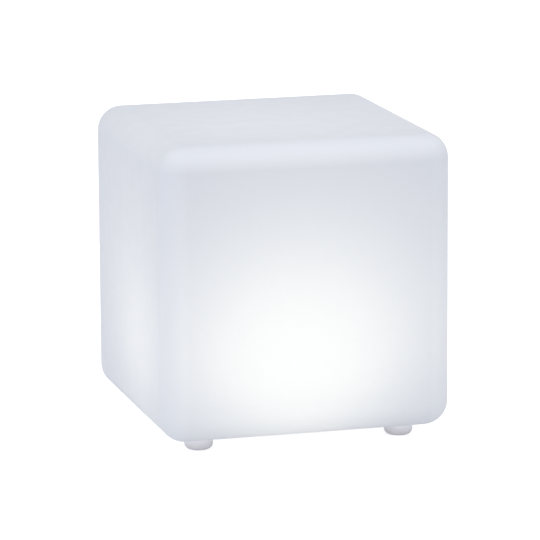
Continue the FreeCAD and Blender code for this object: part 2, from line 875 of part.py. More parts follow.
# ---------------------------------------------------------------- charging port
def port_cover():
    """Rubber flap with a tapered plug, a short strap and the round bead it turns on."""
    flap_top = plate_face + flap_thickness
    flap = rounded_block(flap_length, flap_rear - flap_front, plate_face, flap_top,
                         flap_corner_radius, port_x, (flap_front + flap_rear) / 2)
    plug = Part.makeLoft([
        oblong(plug_length, plug_width, flap_top),
        oblong(plug_length - 2 * plug_taper, plug_width - 2 * plug_taper, flap_top + plug_height),
    ], True, True)
    bead = lying_cylinder(bead_radius, bead_length, hinge_y, bead_level)
    strap_front = flap_rear - hinge_strap_overlap
    strap_top = bead_level + hinge_strap_thickness / 2
    strap_low = max(plate_face, bead_level - hinge_strap_thickness / 2)
    strap = block(hinge_strap_width, hinge_y - strap_front, strap_low, strap_top,
                  port_x, (hinge_y + strap_front) / 2)
    return flap.multiFuse([plug, bead, strap]).removeSplitter()


def make_port():
    keep("port_cover", port_cover())
    low = land_low + socket_inset
    cavity_high = board_low - socket_back_wall
    outside = Part.Face(oblong(socket_length, socket_width, low)).extrude(UP * (board_low - low))
    inside_wire = oblong(socket_length - 2 * socket_wall, socket_width - 2 * socket_wall, low)
    inside = Part.Face(inside_wire).extrude(UP * (cavity_high - low))
    keep("charge_socket", outside.cut(inside))
    keep("charge_socket_tongue", rounded_block(tongue_length, tongue_thickness, low + tongue_recess,
                                               cavity_high, tongue_edge_radius,
                                               port_x, control_row_y))


# ---------------------------------------------------------------- control board
def control_board():
    """D-shaped board with notches for the lid bosses and holes for its screws."""
    disc = cylinder(board_radius, board_low, board_top)
    half = block(3 * board_radius, board_radius, board_low, board_top,
                 0.0, board_edge_y - board_radius / 2)
    board = disc.common(half)
    board = board.makeFillet(board_corner_radius, upright_edges(board))
    notch = lid_boss_radius + board_boss_clearance
    hole = board_screw_radius + screw_clearance
    cuts = [cylinder(notch, board_low - past, board_top + past, x, y) for x, y in lid_screw_places]
    cuts += [cylinder(hole, board_low - past, board_top + past, x, y) for x, y in board_post_places]
    return board.cut(cuts)


def capacitor(x, depth):
    """Round can hanging under the board, with its rolled end."""
    low = board_low - capacitor_height
    can = cylinder(capacitor_radius, low, board_low, x, board_edge_y - depth)
    return can.makeChamfer(small_chamfer, rim_edges(can, capacitor_radius + x, low))


def inductor():
    """Shielded power inductor: two rounded plates with the winding's groove between them."""
    x, depth = inductor_place
    y = board_edge_y - depth
    low = board_low - inductor_height
    core = rounded_block(inductor_side, inductor_side, low, board_low, inductor_corner_radius, x, y)
    return core.cut(ring(inductor_groove_radius, inductor_core_radius, low + inductor_flange,
                         board_low - inductor_flange, x, y))


def battery_connector():
    """Socket at the board's straight edge, with a round mouth for each lead."""
    body = block(connector_length, connector_width, board_low - connector_height, board_low,
                 port_x, connector_y)
    body = body.makeChamfer(small_chamfer, upright_edges(body))
    back = connector_y + connector_width / 2
    mouths = []
    for side in (-1, 1):
        start = Vector(port_x + side * contact_pitch / 2, back - connector_mouth_depth,
                       contact_level)
        mouths.append(Part.makeCylinder(battery_lead_diameter / 2 + thread_clearance,
                                        connector_mouth_depth + past, start, Vector(0, 1, 0)))
    return body.cut(mouths)


def light_pipe():
    """Clear rod that brings the charge light down to the cover's face."""
    pipe_top = board_low - indicator_height - pipe_gap
    flange_high = plate_top + pipe_flange_thickness
    return turned([
        (0.0, plate_face),
        (pipe_radius, plate_face),
        (pipe_radius, plate_top),
        (pipe_flange_radius, plate_top),
        (pipe_flange_radius, flange_high),
        (pipe_radius, flange_high),
        (pipe_radius, pipe_top),
        (0.0, pipe_top),
    ], indicator_x, control_row_y)


def make_control_board():
    keep("control_board", control_board())
    keep_all("board_screws", [cheese_screw(board_screw_radius, board_screw_length,
                                           board_screw_head_radius, board_screw_head_height,
                                           board_top, x, y) for x, y in board_post_places])
    keep_all("board_chips", [block(length, width, board_low - height, board_low,
                                   x, board_edge_y - depth)
                             for x, depth, length, width, height in chip_list])
    keep("power_inductor", inductor())
    keep_all("board_capacitors", [capacitor(x, depth) for x, depth in capacitor_places])
    keep("battery_connector", battery_connector())
    keep("indicator_led", block(indicator_length, indicator_width, board_low - indicator_height,
                                board_low, indicator_x, control_row_y))
    keep("light_pipe", light_pipe())


# ---------------------------------------------------------------- rechargeable cell
def battery_strap():
    """Folded steel strap: two feet, two legs and a flat bridge over the cell."""
    leg = battery_x + strap_side_gap
    outer_leg = leg + strap_thickness
    foot_end = strap_screw_x + strap_foot_length
    low = strap_seat
    high = strap_top - strap_thickness
    outline = [
        (-foot_end, low), (-leg, low), (-leg, high), (leg, high), (leg, low), (foot_end, low),
        (foot_end, low + strap_thickness), (outer_leg, low + strap_thickness),
        (outer_leg, strap_top), (-outer_leg, strap_top),
        (-outer_leg, low + strap_thickness), (-foot_end, low + strap_thickness),
    ]
    start_y = battery_middle_y - strap_width / 2
    points = [Vector(x, start_y, z) for x, z in outline]
    solid = Part.Face(Part.makePolygon(points + points[:1])).extrude(Vector(0, strap_width, 0))
    bends = [edge for edge in flat_edges(solid)
             if abs(edge.BoundBox.ZMin - strap_top) < 1e-6 and edge.BoundBox.XLength < 1e-6]
    solid = solid.makeFillet(strap_bend_radius, bends)
    hole = lid_screw_radius + screw_clearance
    return solid.cut([cylinder(hole, low - past, low + strap_thickness + past, x, y)
                      for x, y in strap_screw_places])


def battery_lead(side, name):
    """Short lead from the cell's front face into the connector on the board."""
    end_x = port_x + side * contact_pitch / 2
    start_x = end_x + lead_shift
    back = connector_y + connector_width / 2
    bend = lead_bend_share * (battery_front - back)
    points = [
        Vector(start_x, battery_front, contact_level),
        Vector(start_x, battery_front - bend, contact_level),
        Vector(end_x, back + bend, contact_level),
        Vector(end_x, back - lead_insertion, contact_level),
    ]
    keep(name, lead(points, battery_lead_diameter, name))


def make_battery():
    cell = rounded_block(battery_length, battery_width, pad_top, battery_top,
                         battery_corner_radius, 0.0, battery_middle_y)
    keep("battery_cell", cell.makeFillet(battery_edge_radius, flat_edges(cell)))
    keep("battery_pad", rounded_block(battery_length - 2 * pad_inset, battery_width - 2 * pad_inset,
                                      plate_top, pad_top, pad_corner_radius, 0.0, battery_middle_y))
    keep("battery_strap", battery_strap())
    seat = strap_seat + strap_thickness
    keep_all("strap_screws",
             [cheese_screw(lid_screw_radius, seat - plate_top, lid_screw_head_radius,
                           lid_screw_head_height, seat, x, y)
              for x, y in strap_screw_places])
    battery_lead(-1, "battery_lead_red")
    battery_lead(1, "battery_lead_black")


# ---------------------------------------------------------------- lid and light source
def module_lid():
    """Round lid over the electronics, with bosses below for the light source's screws."""
    disc = cylinder(cup_radius, lid_low, lid_top)
    disc = disc.makeFillet(lid_edge_radius, rim_edges(disc, cup_radius, lid_top))
    adds = [cylinder(led_boss_radius, led_boss_low, lid_low, x, y) for x, y in led_screw_places]
    pilot = led_screw_radius + thread_clearance
    cuts = [cylinder(pilot, led_pilot_low, lid_top + past, x, y) for x, y in led_screw_places]
    hole = lid_screw_radius + screw_clearance
    cuts += [cylinder(hole, lid_low - past, lid_top + past, x, y) for x, y in lid_screw_places]
    hole = led_lead_diameter / 2 + led_lead_hole_clearance
    cuts += [cylinder(hole, lid_low - past, lid_top + past, x, y) for x, y in led_lead_places]
    return disc.multiFuse(adds).cut(cuts).removeSplitter()


def crowned_cap(radius, base, flange, shoulder, crown_radius, crown_centre):
    """Solid cap with a straight side and a low round crown, on a flange if one is given."""
    top = crown_centre + crown_radius
    side_angle = math.degrees(math.atan2(shoulder - crown_centre, radius))
    outline = [(0.0, base)]
    if flange > radius:
        outline.append((flange, base))
        outline.append((flange, base + diffuser_flange_thickness))
        outline.append((radius, base + diffuser_flange_thickness))
    else:
        outline.append((radius, base))
    outline.append((radius, shoulder))
    outline.append(arc_to(0.0, top, 0.0, crown_centre, crown_radius, (90 + side_angle) / 2))
    return turned(outline)


def light_diffuser():
    """Frosted cap: flat flange, straight side, rounded shoulder and a low crown."""
    radius = diffuser_radius
    shoulder = lid_top + diffuser_shoulder
    crown_rise = diffuser_height - diffuser_shoulder
    crown_radius = (radius ** 2 + crown_rise ** 2) / (2 * crown_rise)
    crown_centre = lid_top + diffuser_height - crown_radius
    outer = crowned_cap(radius, lid_top, radius + diffuser_flange_width, shoulder,
                        crown_radius, crown_centre)
    outer = outer.makeFillet(diffuser_fillet, rim_edges(outer, radius, shoulder))

    inner_radius = radius - diffuser_wall
    inner_crown = crown_radius - diffuser_wall
    inner_shoulder = crown_centre + math.sqrt(inner_crown ** 2 - inner_radius ** 2)
    inner = crowned_cap(inner_radius, lid_top - past, inner_radius, inner_shoulder,
                        inner_crown, crown_centre)
    inner = inner.makeFillet(diffuser_fillet - diffuser_wall,
                             rim_edges(inner, inner_radius, inner_shoulder))
    return outer.cut(inner)


def diffuser_ring():
    """Clamp ring: its inner lip holds the diffuser's flange down on the lid."""
    step = diffuser_radius + diffuser_flange_width + ring_clearance
    lip = diffuser_radius + ring_bore_clearance
    outer = lid_screw_circle + ring_rim
    solid = turned([
        (step, lid_top),
        (outer, lid_top),
        (outer, ring_top - ring_edge),
        (outer - ring_edge, ring_top),
        (lip, ring_top),
        (lip, ring_step),
        (step, ring_step),
    ])
    hole = lid_screw_radius + screw_clearance
    return solid.cut([cylinder(hole, lid_top - past, ring_top + past, x, y)
                      for x, y in lid_screw_places])


def lid_seal():
    """Thin seal on the cup's rim, cut away round the bosses."""
    seal = ring(cup_radius - lid_seal_inset, cup_inner_radius + lid_seal_inset, cup_rim, lid_low)
    boss = lid_boss_radius + lid_seal_clearance
    return seal.cut([cylinder(boss, cup_rim - past, lid_low + past, x, y)
                     for x, y in lid_screw_places])


def led_package(x, y, angle):
    """Square light-emitting package with the sunk window of its phosphor."""
    high = led_board_top + led_height
    body = block(led_side, led_side, led_board_top, high)
    solid = body.cut(block(led_window, led_window, high - led_window_depth, high + past))
    solid.rotate(Vector(0, 0, 0), UP, angle)
    solid.translate(Vector(x, y, 0))
    return solid


def led_lead(side, name):
    """Lead that rises from the control board through the lid and bends over to the light source."""
    crest_in, crest_up = led_lead_crest
    end_in, end_up = led_lead_end
    stations = [
        (led_lead_circle, board_top),
        (led_lead_circle, led_board_top + led_lead_rise),
        (led_lead_circle - crest_in, led_board_top + crest_up),
        (led_lead_circle - end_in, led_board_top + end_up),
    ]
    points = [lead_outward * radius + lead_sideways * side + UP * level
              for radius, level in stations]
    keep(name, lead(points, led_lead_diameter, name))


def make_lid_and_light():
    keep("module_lid", module_lid())
    keep("lid_seal", lid_seal())
    keep_all("lid_screws", [cheese_screw(lid_screw_radius, lid_screw_length, lid_screw_head_radius,
                                         lid_screw_head_height, ring_top, x, y)
                            for x, y in lid_screw_places])

    screw_holes = [cylinder(led_screw_radius + screw_clearance,
                            lid_top - past, led_board_top + past, x, y)
                   for x, y in led_screw_places]
    pad = cylinder(led_board_radius - thermal_pad_inset, lid_top, led_board_low)
    keep("thermal_pad", pad.cut(screw_holes))
    board = cylinder(led_board_radius, led_board_low, led_board_top)
    keep("led_board", board.makeChamfer(led_board_edge, flat_edges(board)).cut(screw_holes))
    packages = []
    for count, radius, start in led_rings:
        for step, (x, y) in enumerate(on_circle(count, radius, start)):
            packages.append(led_package(x, y, start + 360.0 * step / count))
    keep_all("led_packages", packages)
    keep_all("led_board_screws", [cheese_screw(led_screw_radius, led_screw_length,
                                               led_screw_head_radius, led_screw_head_height,
                                               led_board_top, x, y) for x, y in led_screw_places])
    keep("light_diffuser", light_diffuser())
    keep("diffuser_ring", diffuser_ring())
    led_lead(-1, "led_lead_red")
    led_lead(1, "led_lead_black")


# ---------------------------------------------------------------- build
make_shell_and_feet()
make_base()
make_button()
make_port()
make_control_board()
make_battery()
make_lid_and_light()

os.makedirs("parts", exist_ok=True)
for name, shape in pieces.items():
    shape.exportStep("parts/%s.step" % name)
    print("%-22s %2d solid(s) %10.1f mm3 valid %s"
          % (name, len(shape.Solids), sum(solid.Volume for solid in shape.Solids), shape.isValid()))
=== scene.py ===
# %% [markdown]
# # A glowing cube lamp
#
# The lamp is a hollow cube of translucent white plastic on four rubber feet, lit from a round
# light source on the floor of the cube. Nearly everything else sits in a cup that closes the cube
# from below.
#
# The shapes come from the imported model. What is left for Blender is how the lamp looks: the glow
# through the wall, the grain and gloss of each stuff, and the small moulded and printed details.

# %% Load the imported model
import math

import bmesh
import bpy
from mathutils import Matrix, Vector


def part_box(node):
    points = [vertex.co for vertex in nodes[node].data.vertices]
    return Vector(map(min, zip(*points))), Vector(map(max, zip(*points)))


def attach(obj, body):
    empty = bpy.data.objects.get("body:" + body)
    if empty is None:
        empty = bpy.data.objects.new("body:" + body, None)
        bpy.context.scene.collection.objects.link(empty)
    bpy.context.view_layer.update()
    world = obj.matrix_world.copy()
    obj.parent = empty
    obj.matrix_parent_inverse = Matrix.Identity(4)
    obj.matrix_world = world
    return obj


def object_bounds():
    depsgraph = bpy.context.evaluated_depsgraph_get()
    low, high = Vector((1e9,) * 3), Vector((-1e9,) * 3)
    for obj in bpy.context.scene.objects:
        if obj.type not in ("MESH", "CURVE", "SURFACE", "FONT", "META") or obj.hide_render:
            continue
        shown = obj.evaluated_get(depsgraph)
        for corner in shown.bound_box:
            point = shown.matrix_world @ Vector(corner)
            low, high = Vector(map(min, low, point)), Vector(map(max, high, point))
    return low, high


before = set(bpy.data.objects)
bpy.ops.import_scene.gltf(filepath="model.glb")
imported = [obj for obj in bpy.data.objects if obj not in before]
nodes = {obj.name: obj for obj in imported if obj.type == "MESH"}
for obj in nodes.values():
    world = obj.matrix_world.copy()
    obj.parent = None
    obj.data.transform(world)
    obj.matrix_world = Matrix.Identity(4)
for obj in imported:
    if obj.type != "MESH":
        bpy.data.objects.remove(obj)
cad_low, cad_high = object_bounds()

print(len(nodes), "nodes from the packed model, box", cad_low[:], cad_high[:])

# %% [markdown]
# ## Small tools
#
# Colours are written as sRGB hex values, as a colour picker shows them, but Blender wants linear
# light, so one function turns them. Another adds a node with its settings and links. Sizes are
# written in millimetres, and Blender works in metres.

# %% Helpers
MM = 0.001


def linear(colour):
    """The linear colour of an sRGB hex value, with full alpha."""
    parts = [int(colour[i:i + 2], 16) / 255 for i in (1, 3, 5)]
    return [p / 12.92 if p <= 0.04045 else ((p + 0.055) / 1.055) ** 2.4 for p in parts] + [1.0]


def add(tree, kind, inputs=None, **settings):
    """Adds a node. An input takes a value, an output or a whole node."""
    node = tree.nodes.new("ShaderNode" + kind)
    for name, value in settings.items():
        setattr(node, name, value)
    for name, value in (inputs or {}).items():
        if isinstance(value, bpy.types.Node):
            value = next(output for output in value.outputs if output.enabled)
        if isinstance(value, bpy.types.NodeSocket):
            tree.links.new(value, node.inputs[name])
        else:
            node.inputs[name].default_value = value
    return node


def scale_of(size_mm):
    """The texture scale at which one feature is this many millimetres across."""
    return 1.0 / (size_mm * MM)


print("white in linear light:", linear("#ffffff")[:3])

# %% [markdown]
# ## The camera
#
# The lamp was photographed from far away with a long lens: its upright edges are parallel and its
# top shows only a little. A cube with rounded edges was projected through trial cameras until its
# outline fell on the photographed one. That gives the place, direction, roll and lens below.

# %% Camera
CAMERA_PLACE = Vector((-0.714206, -2.552100, 0.654460))
CAMERA_DIRECTION = Vector((0.263852, 0.942852, -0.203502))
CAMERA_ROLL = math.radians(-0.3435)
CAMERA_LENS = 263.125

camera_data = bpy.data.cameras.new("photograph_camera")
camera_data.sensor_width = 36.0
camera_data.lens = CAMERA_LENS
camera_data.clip_end = 100.0
camera = bpy.data.objects.new("photograph_camera", camera_data)
aim = CAMERA_DIRECTION.to_track_quat("-Z", "Y").to_matrix().to_4x4()
camera.matrix_world = (Matrix.Translation(CAMERA_PLACE) @ aim
                       @ Matrix.Rotation(CAMERA_ROLL, 4, "Z"))
bpy.context.scene.collection.objects.link(camera)
bpy.context.scene.camera = camera
print("camera", round((CAMERA_PLACE - (cad_low + cad_high) / 2).length, 2), "m from the lamp")

# %% [markdown]
# ## Light
#
# The photograph has a pure white ground and soft light from everywhere, a little stronger from low
# on the left. A world that is brighter on that side does this without a lamp's hard shadow. What
# the camera, a gloss or clear plastic sees of it is plain white, by the Light Path node.

# %% World
WORLD_LOW = 0.81
WORLD_HIGH = 1.19
KEY_DIRECTION = Vector((-0.80, -0.31, -0.52)).normalized()

world = bpy.data.worlds.new("soft_white_studio")
world.use_nodes = True
sky = world.node_tree
sky.nodes.clear()
direction = add(sky, "TexCoord").outputs["Generated"]
towards_key = add(sky, "VectorMath", {0: direction, 1: KEY_DIRECTION}, operation="DOT_PRODUCT")
light_level = add(sky, "MapRange", {"Value": towards_key, "From Min": -1.0, "From Max": 1.0,
                                    "To Min": WORLD_LOW, "To Max": WORLD_HIGH})
rays = add(sky, "LightPath").outputs
seen = add(sky, "Math", {0: rays["Is Camera Ray"], 1: rays["Is Glossy Ray"]}, operation="MAXIMUM")
seen = add(sky, "Math", {0: seen, 1: rays["Is Transmission Ray"]}, operation="MAXIMUM")
strength = add(sky, "Mix", {"Factor": seen, 2: light_level, 3: 1.0})
background = add(sky, "Background", {"Color": linear("#ffffff"), "Strength": strength})
add(sky, "OutputWorld", {"Surface": background})
bpy.context.scene.world = world
bpy.context.scene.view_settings.view_transform = "Standard"
print("world from", WORLD_LOW, "to", WORLD_HIGH)

# %% [markdown]
# ## The floor
#
# One large pale face takes the lamp's soft shadow. The camera and reflections get it lighter than
# it shines on the lamp, again by Light Path. Its back is clear, so that the underside of the lamp
# shows when it is looked at from below.

# %% Paint of the floor
FLOOR_SHOWN = 0.62  # added where the camera sees it, up to white
FLOOR_MIRRORED = 0.20  # added in reflections and through clear plastic
FLOOR_CLEAR = 0.35  # of the soft light from below comes through

floor_paint = bpy.data.materials.new("pale_floor_paint")
floor_paint.use_nodes = True
tree = floor_paint.node_tree
tree.nodes.clear()
rays = add(tree, "LightPath").outputs
mirrored = add(tree, "Math", {0: rays["Is Glossy Ray"], 1: rays["Is Transmission Ray"]},
               operation="MAXIMUM")
mirrored = add(tree, "Math", {0: mirrored, 1: FLOOR_MIRRORED}, operation="MULTIPLY")
shown = add(tree, "Math", {0: rays["Is Camera Ray"], 1: FLOOR_SHOWN, 2: mirrored},
            operation="MULTIPLY_ADD")
paint = add(tree, "BsdfDiffuse", {"Color": linear("#e8e8e8")})
white = add(tree, "Emission", {"Color": linear("#ffffff"), "Strength": shown})
painted = add(tree, "AddShader", {0: paint, 1: white})
soft_share = add(tree, "Math", {0: rays["Is Diffuse Ray"], 1: FLOOR_CLEAR}, operation="MULTIPLY")
behind = add(tree, "NewGeometry").outputs["Backfacing"]
clear_share = add(tree, "Math", {0: soft_share, 1: behind}, operation="MAXIMUM")
surface = add(tree, "MixShader", {0: clear_share, 1: painted, 2: add(tree, "BsdfTransparent")})
add(tree, "OutputMaterial", {"Surface": surface})
print("floor paint has", len(tree.nodes), "nodes")

# %% The floor itself, and how a shape becomes an object
FLOOR_SIDE = 16.0  # metres
SAME_POINT = 1e-7


def finished(name, shape, material):
    """A mesh object at the origin from a bmesh, with its doubles merged and normals out."""
    bmesh.ops.remove_doubles(shape, verts=shape.verts, dist=SAME_POINT)
    bmesh.ops.recalc_face_normals(shape, faces=shape.faces)
    mesh = bpy.data.meshes.new(name)
    shape.to_mesh(mesh)
    shape.free()
    mesh.materials.append(material)
    piece = bpy.data.objects.new(name, mesh)
    bpy.context.scene.collection.objects.link(piece)
    return piece


shape = bmesh.new()
bmesh.ops.create_grid(shape, x_segments=1, y_segments=1, size=FLOOR_SIDE / 2)
floor = finished("floor", shape, floor_paint)
print("floor faces", floor.data.polygons[0].normal[:])

# %% [markdown]
# ## What every material is made of
#
# A real surface is never quite even, so each material starts from typical values and gets soft
# noise on top: in its colour (tint), its roughness (gloss) and its relief. The noise has features
# of a real size in object space, so it stays on the piece when it moves and needs no unwrapping.

# %% Steps that the materials share
def new_material(name, colour, roughness, ior=1.5, metallic=0.0):
    """A material with one Principled shader set to its typical values."""
    material = bpy.data.materials.new(name)
    material.use_nodes = True
    shader = material.node_tree.nodes["Principled BSDF"]
    shader.inputs["Base Color"].default_value = linear(colour)
    shader.inputs["Roughness"].default_value = roughness
    shader.inputs["IOR"].default_value = ior
    shader.inputs["Metallic"].default_value = metallic
    return material, material.node_tree, shader


def grain(tree, size_mm, detail=2.0, stretch=None):
    """A soft uneven pattern fixed to the piece. A stretch above 1 draws it finer that way."""
    place = add(tree, "TexCoord").outputs["Object"]
    if stretch:
        place = add(tree, "Mapping", {"Vector": place, "Scale": stretch})
    return add(tree, "TexNoise", {"Vector": place, "Scale": scale_of(size_mm), "Detail": detail})


def vary_colour(tree, shader, pattern, dark, light, low=0.35, high=0.65):
    """Base colour from dark to light as the pattern goes from low to high."""
    share = add(tree, "MapRange", {"Value": pattern, "From Min": low, "From Max": high})
    mixed = add(tree, "Mix", {"Factor": share, 6: linear(dark), 7: linear(light)},
                data_type="RGBA")
    tree.links.new(mixed.outputs[2], shader.inputs["Base Color"])


def vary_roughness(tree, shader, pattern, low, high):
    """Roughness from low to high, so that a highlight breaks up a little."""
    level = add(tree, "MapRange", {"Value": pattern, "From Min": 0.3, "From Max": 0.7,
                                   "To Min": low, "To Max": high})
    tree.links.new(level.outputs[0], shader.inputs["Roughness"])


def raise_surface(tree, shader, pattern, depth_mm, strength=1.0):
    """Relief of a real depth, on top of any that is already there."""
    inputs = {"Height": pattern, "Distance": depth_mm * MM, "Strength": strength}
    if shader.inputs["Normal"].is_linked:
        inputs["Normal"] = shader.inputs["Normal"].links[0].from_socket
    relief = add(tree, "Bump", inputs)
    tree.links.new(relief.outputs[0], shader.inputs["Normal"])


def wear(material, *names):
    """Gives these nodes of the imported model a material."""
    for name in names:
        nodes[name].data.materials.clear()
        nodes[name].data.materials.append(material)
    print(material.name, "on", ", ".join(names))


print("a 1 mm grain has the scale", scale_of(1))

# %% [markdown]
# ## The glowing wall
#
# The cube is one hollow moulding of translucent white polyethylene, made by turning hot powder in
# a closed mould until it coats the walls. Light from the source on the cube's floor strikes the
# walls from inside, and each spot passes on what reaches it, spread evenly.
#
# Tracing the light through the wall would be noisy, and lost in a plain viewer. Here the emission
# is worked out for each point instead: how far it is from the source, how squarely the wall faces
# it, and how strongly the source, which shines mostly upwards, shines that way.
#
# All of that needs the direction in which the wall faces. A rounded cube is a smaller cube, its
# core, with a skin at an even distance: straight outward is away from the core's nearest point.

# %% Which way the wall faces
EDGE_RADIUS = 17 * MM
FOOT_HEIGHT = 9 * MM

# Satin plastic, a little bluish in white light, with a weak and broad gloss.
wall, tree, shader = new_material("rotomoulded_polyethylene", "#c5cad8", 0.46, ior=1.51)
shader.inputs["Specular IOR Level"].default_value = 0.35

place = add(tree, "TexCoord").outputs["Object"]
core_low = cad_low + Vector((EDGE_RADIUS, EDGE_RADIUS, EDGE_RADIUS + FOOT_HEIGHT))
core_high = cad_high - Vector((EDGE_RADIUS,) * 3)
nearest = add(tree, "VectorMath", {0: place, 1: core_low}, operation="MAXIMUM")
nearest = add(tree, "VectorMath", {0: nearest, 1: core_high}, operation="MINIMUM")
outward = add(tree, "VectorMath", {0: place, 1: nearest}, operation="SUBTRACT")
outward = add(tree, "VectorMath", {0: outward}, operation="NORMALIZE")
print("the rounded edges turn about a core from", core_low[:], "to", core_high[:])

# %% Light that reaches a point
GLOW_SOURCE = (-0.0075, -0.0274, 0.0341)
GLOW_MIRROR = (0.015, 0.055, 0)  # how much nearer it seems from the right and the back
GLOW_SIDE_SHARE = 0.233  # of the source's light that goes sideways
GLOW_REACH = 0.1  # the distance at which the light counts once
GLOW_FALL = 2.81  # the power by which it falls with distance

source = add(tree, "VectorMath", {0: outward}, operation="MAXIMUM")
source = add(tree, "VectorMath", {0: source, 1: GLOW_MIRROR}, operation="MULTIPLY")
source = add(tree, "VectorMath", {0: source, 1: GLOW_SOURCE}, operation="ADD")
path = add(tree, "VectorMath", {0: place, 1: source}, operation="SUBTRACT")
distance = add(tree, "VectorMath", {0: path}, operation="LENGTH")
way = add(tree, "VectorMath", {0: path}, operation="NORMALIZE")
facing = add(tree, "VectorMath", {0: way, 1: outward}, operation="DOT_PRODUCT")
facing = add(tree, "Math", {0: facing, 1: 0.0}, operation="MAXIMUM")
upward = add(tree, "SeparateXYZ", {0: way}).outputs["Z"]
upward = add(tree, "Math", {0: upward, 1: 0.0}, operation="MAXIMUM")
lobe = add(tree, "Mix", {"Factor": upward, 2: GLOW_SIDE_SHARE, 3: 1.0})
fall = add(tree, "Math", {0: distance, 1: GLOW_REACH}, operation="DIVIDE")
fall = add(tree, "Math", {0: fall, 1: -GLOW_FALL}, operation="POWER")
print("the source seems to be at", [round(part / MM, 1) for part in GLOW_SOURCE], "mm")

# %% [markdown]
# The front and back pass on the most. The sides and top pass on less, a painted shade for the
# dimmer look of a glowing wall seen at a slant. Along the edges the plastic is thicker and a point
# sees two walls at once, and the upper front and back edges also get a painted highlight. The
# squares of the outward direction measure this: two of them multiplied are 0 on a face and greatest
# halfway round an edge. The rim of the base shades a low strip.

# %% Faces, edges and low strip
# The sides and top glow weaker than the front and back: a painted shade.
GLOW_AND_PAINTED_SHADE_BY_FACE = (0.375, 1.0, 0.366)  # sides, front and back, top
GLOW_LOST_AT_EDGES = (0.490, 0.653, -1.0)  # upright, upper front and back, upper side edges
UPRIGHT_SPREAD = 0.6  # below 1, an upright edge starts to count sooner
LOW_STRIP = (17 * MM, 37 * MM)  # fully shaded below the first, not at all above the second
LOW_STRIP_SHARE = 0.63

squares = add(tree, "VectorMath", {0: outward, 1: outward}, operation="MULTIPLY")
x2, y2 = add(tree, "SeparateXYZ", {0: squares}).outputs[:2]
rising = add(tree, "SeparateXYZ", {0: outward}).outputs["Z"]
rising = add(tree, "Math", {0: rising, 1: 0.0}, operation="MAXIMUM")
up2 = add(tree, "Math", {0: rising, 1: rising}, operation="MULTIPLY")
measures = []
for first, second in ((x2, y2), (y2, up2), (up2, x2)):
    product = add(tree, "Math", {0: first, 1: second}, operation="MULTIPLY")
    measures.append(add(tree, "Math", {0: product, 1: 4.0}, operation="MULTIPLY"))
measures[0] = add(tree, "Math", {0: measures[0], 1: UPRIGHT_SPREAD}, operation="POWER")
edges = add(tree, "CombineXYZ", dict(zip("XYZ", measures)))

faces = add(tree, "VectorMath", {0: squares, 1: GLOW_AND_PAINTED_SHADE_BY_FACE}, operation="DOT_PRODUCT")
lost = add(tree, "VectorMath", {0: edges, 1: GLOW_LOST_AT_EDGES}, operation="DOT_PRODUCT")
kept = add(tree, "Math", {0: 1.0, 1: lost}, operation="SUBTRACT")
height = add(tree, "SeparateXYZ", {0: place}).outputs["Z"]
low_share = add(tree, "MapRange", {"Value": height, "From Min": LOW_STRIP[0],
                                   "From Max": LOW_STRIP[1], "To Min": LOW_STRIP_SHARE},
                interpolation_type="SMOOTHSTEP")
print("a low strip passes on", LOW_STRIP_SHARE, "of its light")

# %% [markdown]
# Where much light arrives the plastic saturates: the curve 1 - exp(-x) rounds the bright spot off.
# Two soft patterns break up the glow: broad clouds, where the wall is a little thicker or thinner,
# and a fine mottle of grains that melted unevenly.

# %% The glow itself
GLOW_GAIN = 3.62  # how soon the plastic saturates
GLOW_COLOUR = (0.411, 0.394, 0.307)  # linear light of the brightest spot
INNER_GLOW = (0.063, 0.063, 0.055)  # linear light everywhere
# The upper front and back edges get extra light from this: a painted highlight.
EDGE_GLOW_AND_PAINTED_HIGHLIGHT = (0.036, 0.131, -0.055)  # more or less of it, edges in the order above
CLOUDS = (26, 0.035)  # size in millimetres, and share of the light
MOTTLE = (4.5, 0.03)

clouds, mottle = (add(tree, "MapRange", {"Value": grain(tree, size, 3.0), "To Min": 1 - share,
                                         "To Max": 1 + share})
                  for size, share in (CLOUDS, MOTTLE))
arriving = facing
for share in (lobe, fall, faces, kept, clouds, low_share):
    arriving = add(tree, "Math", {0: arriving, 1: share}, operation="MULTIPLY")
held_back = add(tree, "Math", {0: arriving, 1: -GLOW_GAIN}, operation="MULTIPLY")
held_back = add(tree, "Math", {0: held_back}, operation="EXPONENT")
passed = add(tree, "Math", {0: 1.0, 1: held_back}, operation="SUBTRACT")
passed = add(tree, "Math", {0: passed, 1: mottle}, operation="MULTIPLY")
glow = add(tree, "VectorMath", {0: GLOW_COLOUR, "Scale": passed}, operation="SCALE")
# Even inner glow, with a painted highlight along the upper front and back edges.
even = add(tree, "VectorMath", {0: edges, 1: EDGE_GLOW_AND_PAINTED_HIGHLIGHT}, operation="DOT_PRODUCT")
even = add(tree, "VectorMath", {0: even, 1: INNER_GLOW}, operation="ADD")
emission = add(tree, "VectorMath", {0: glow, 1: even}, operation="ADD")
tree.links.new(emission.outputs[0], shader.inputs["Emission Color"])
shader.inputs["Emission Strength"].default_value = 1.0
print("brightest glow adds", GLOW_COLOUR)

# %% [markdown]
# The skin copies the soft grain of a blasted mould, and the wall sinks a few hundredths of a
# millimetre here and there as it cools. The real grain is about 0.3 mm and would fall between the
# pixels, so it is drawn at 1.2 mm.

# %% Grain and gloss of the wall
vary_roughness(tree, shader, grain(tree, 14), 0.42, 0.52)
raise_surface(tree, shader, grain(tree, 38, 1.0), 0.07)
raise_surface(tree, shader, grain(tree, 1.2), 0.010)
wear(wall, "cube_shell")

# %% [markdown]
# ## Rubber of the feet
#
# The feet are pale grey rubber with the fine pits of a spark-eroded mould (0.1 mm, drawn at 0.6
# mm). The rubber darkens towards the sole, a painted shade: a ramp along Z does that, broken up by
# a soft pattern. The top has a faint painted glow.

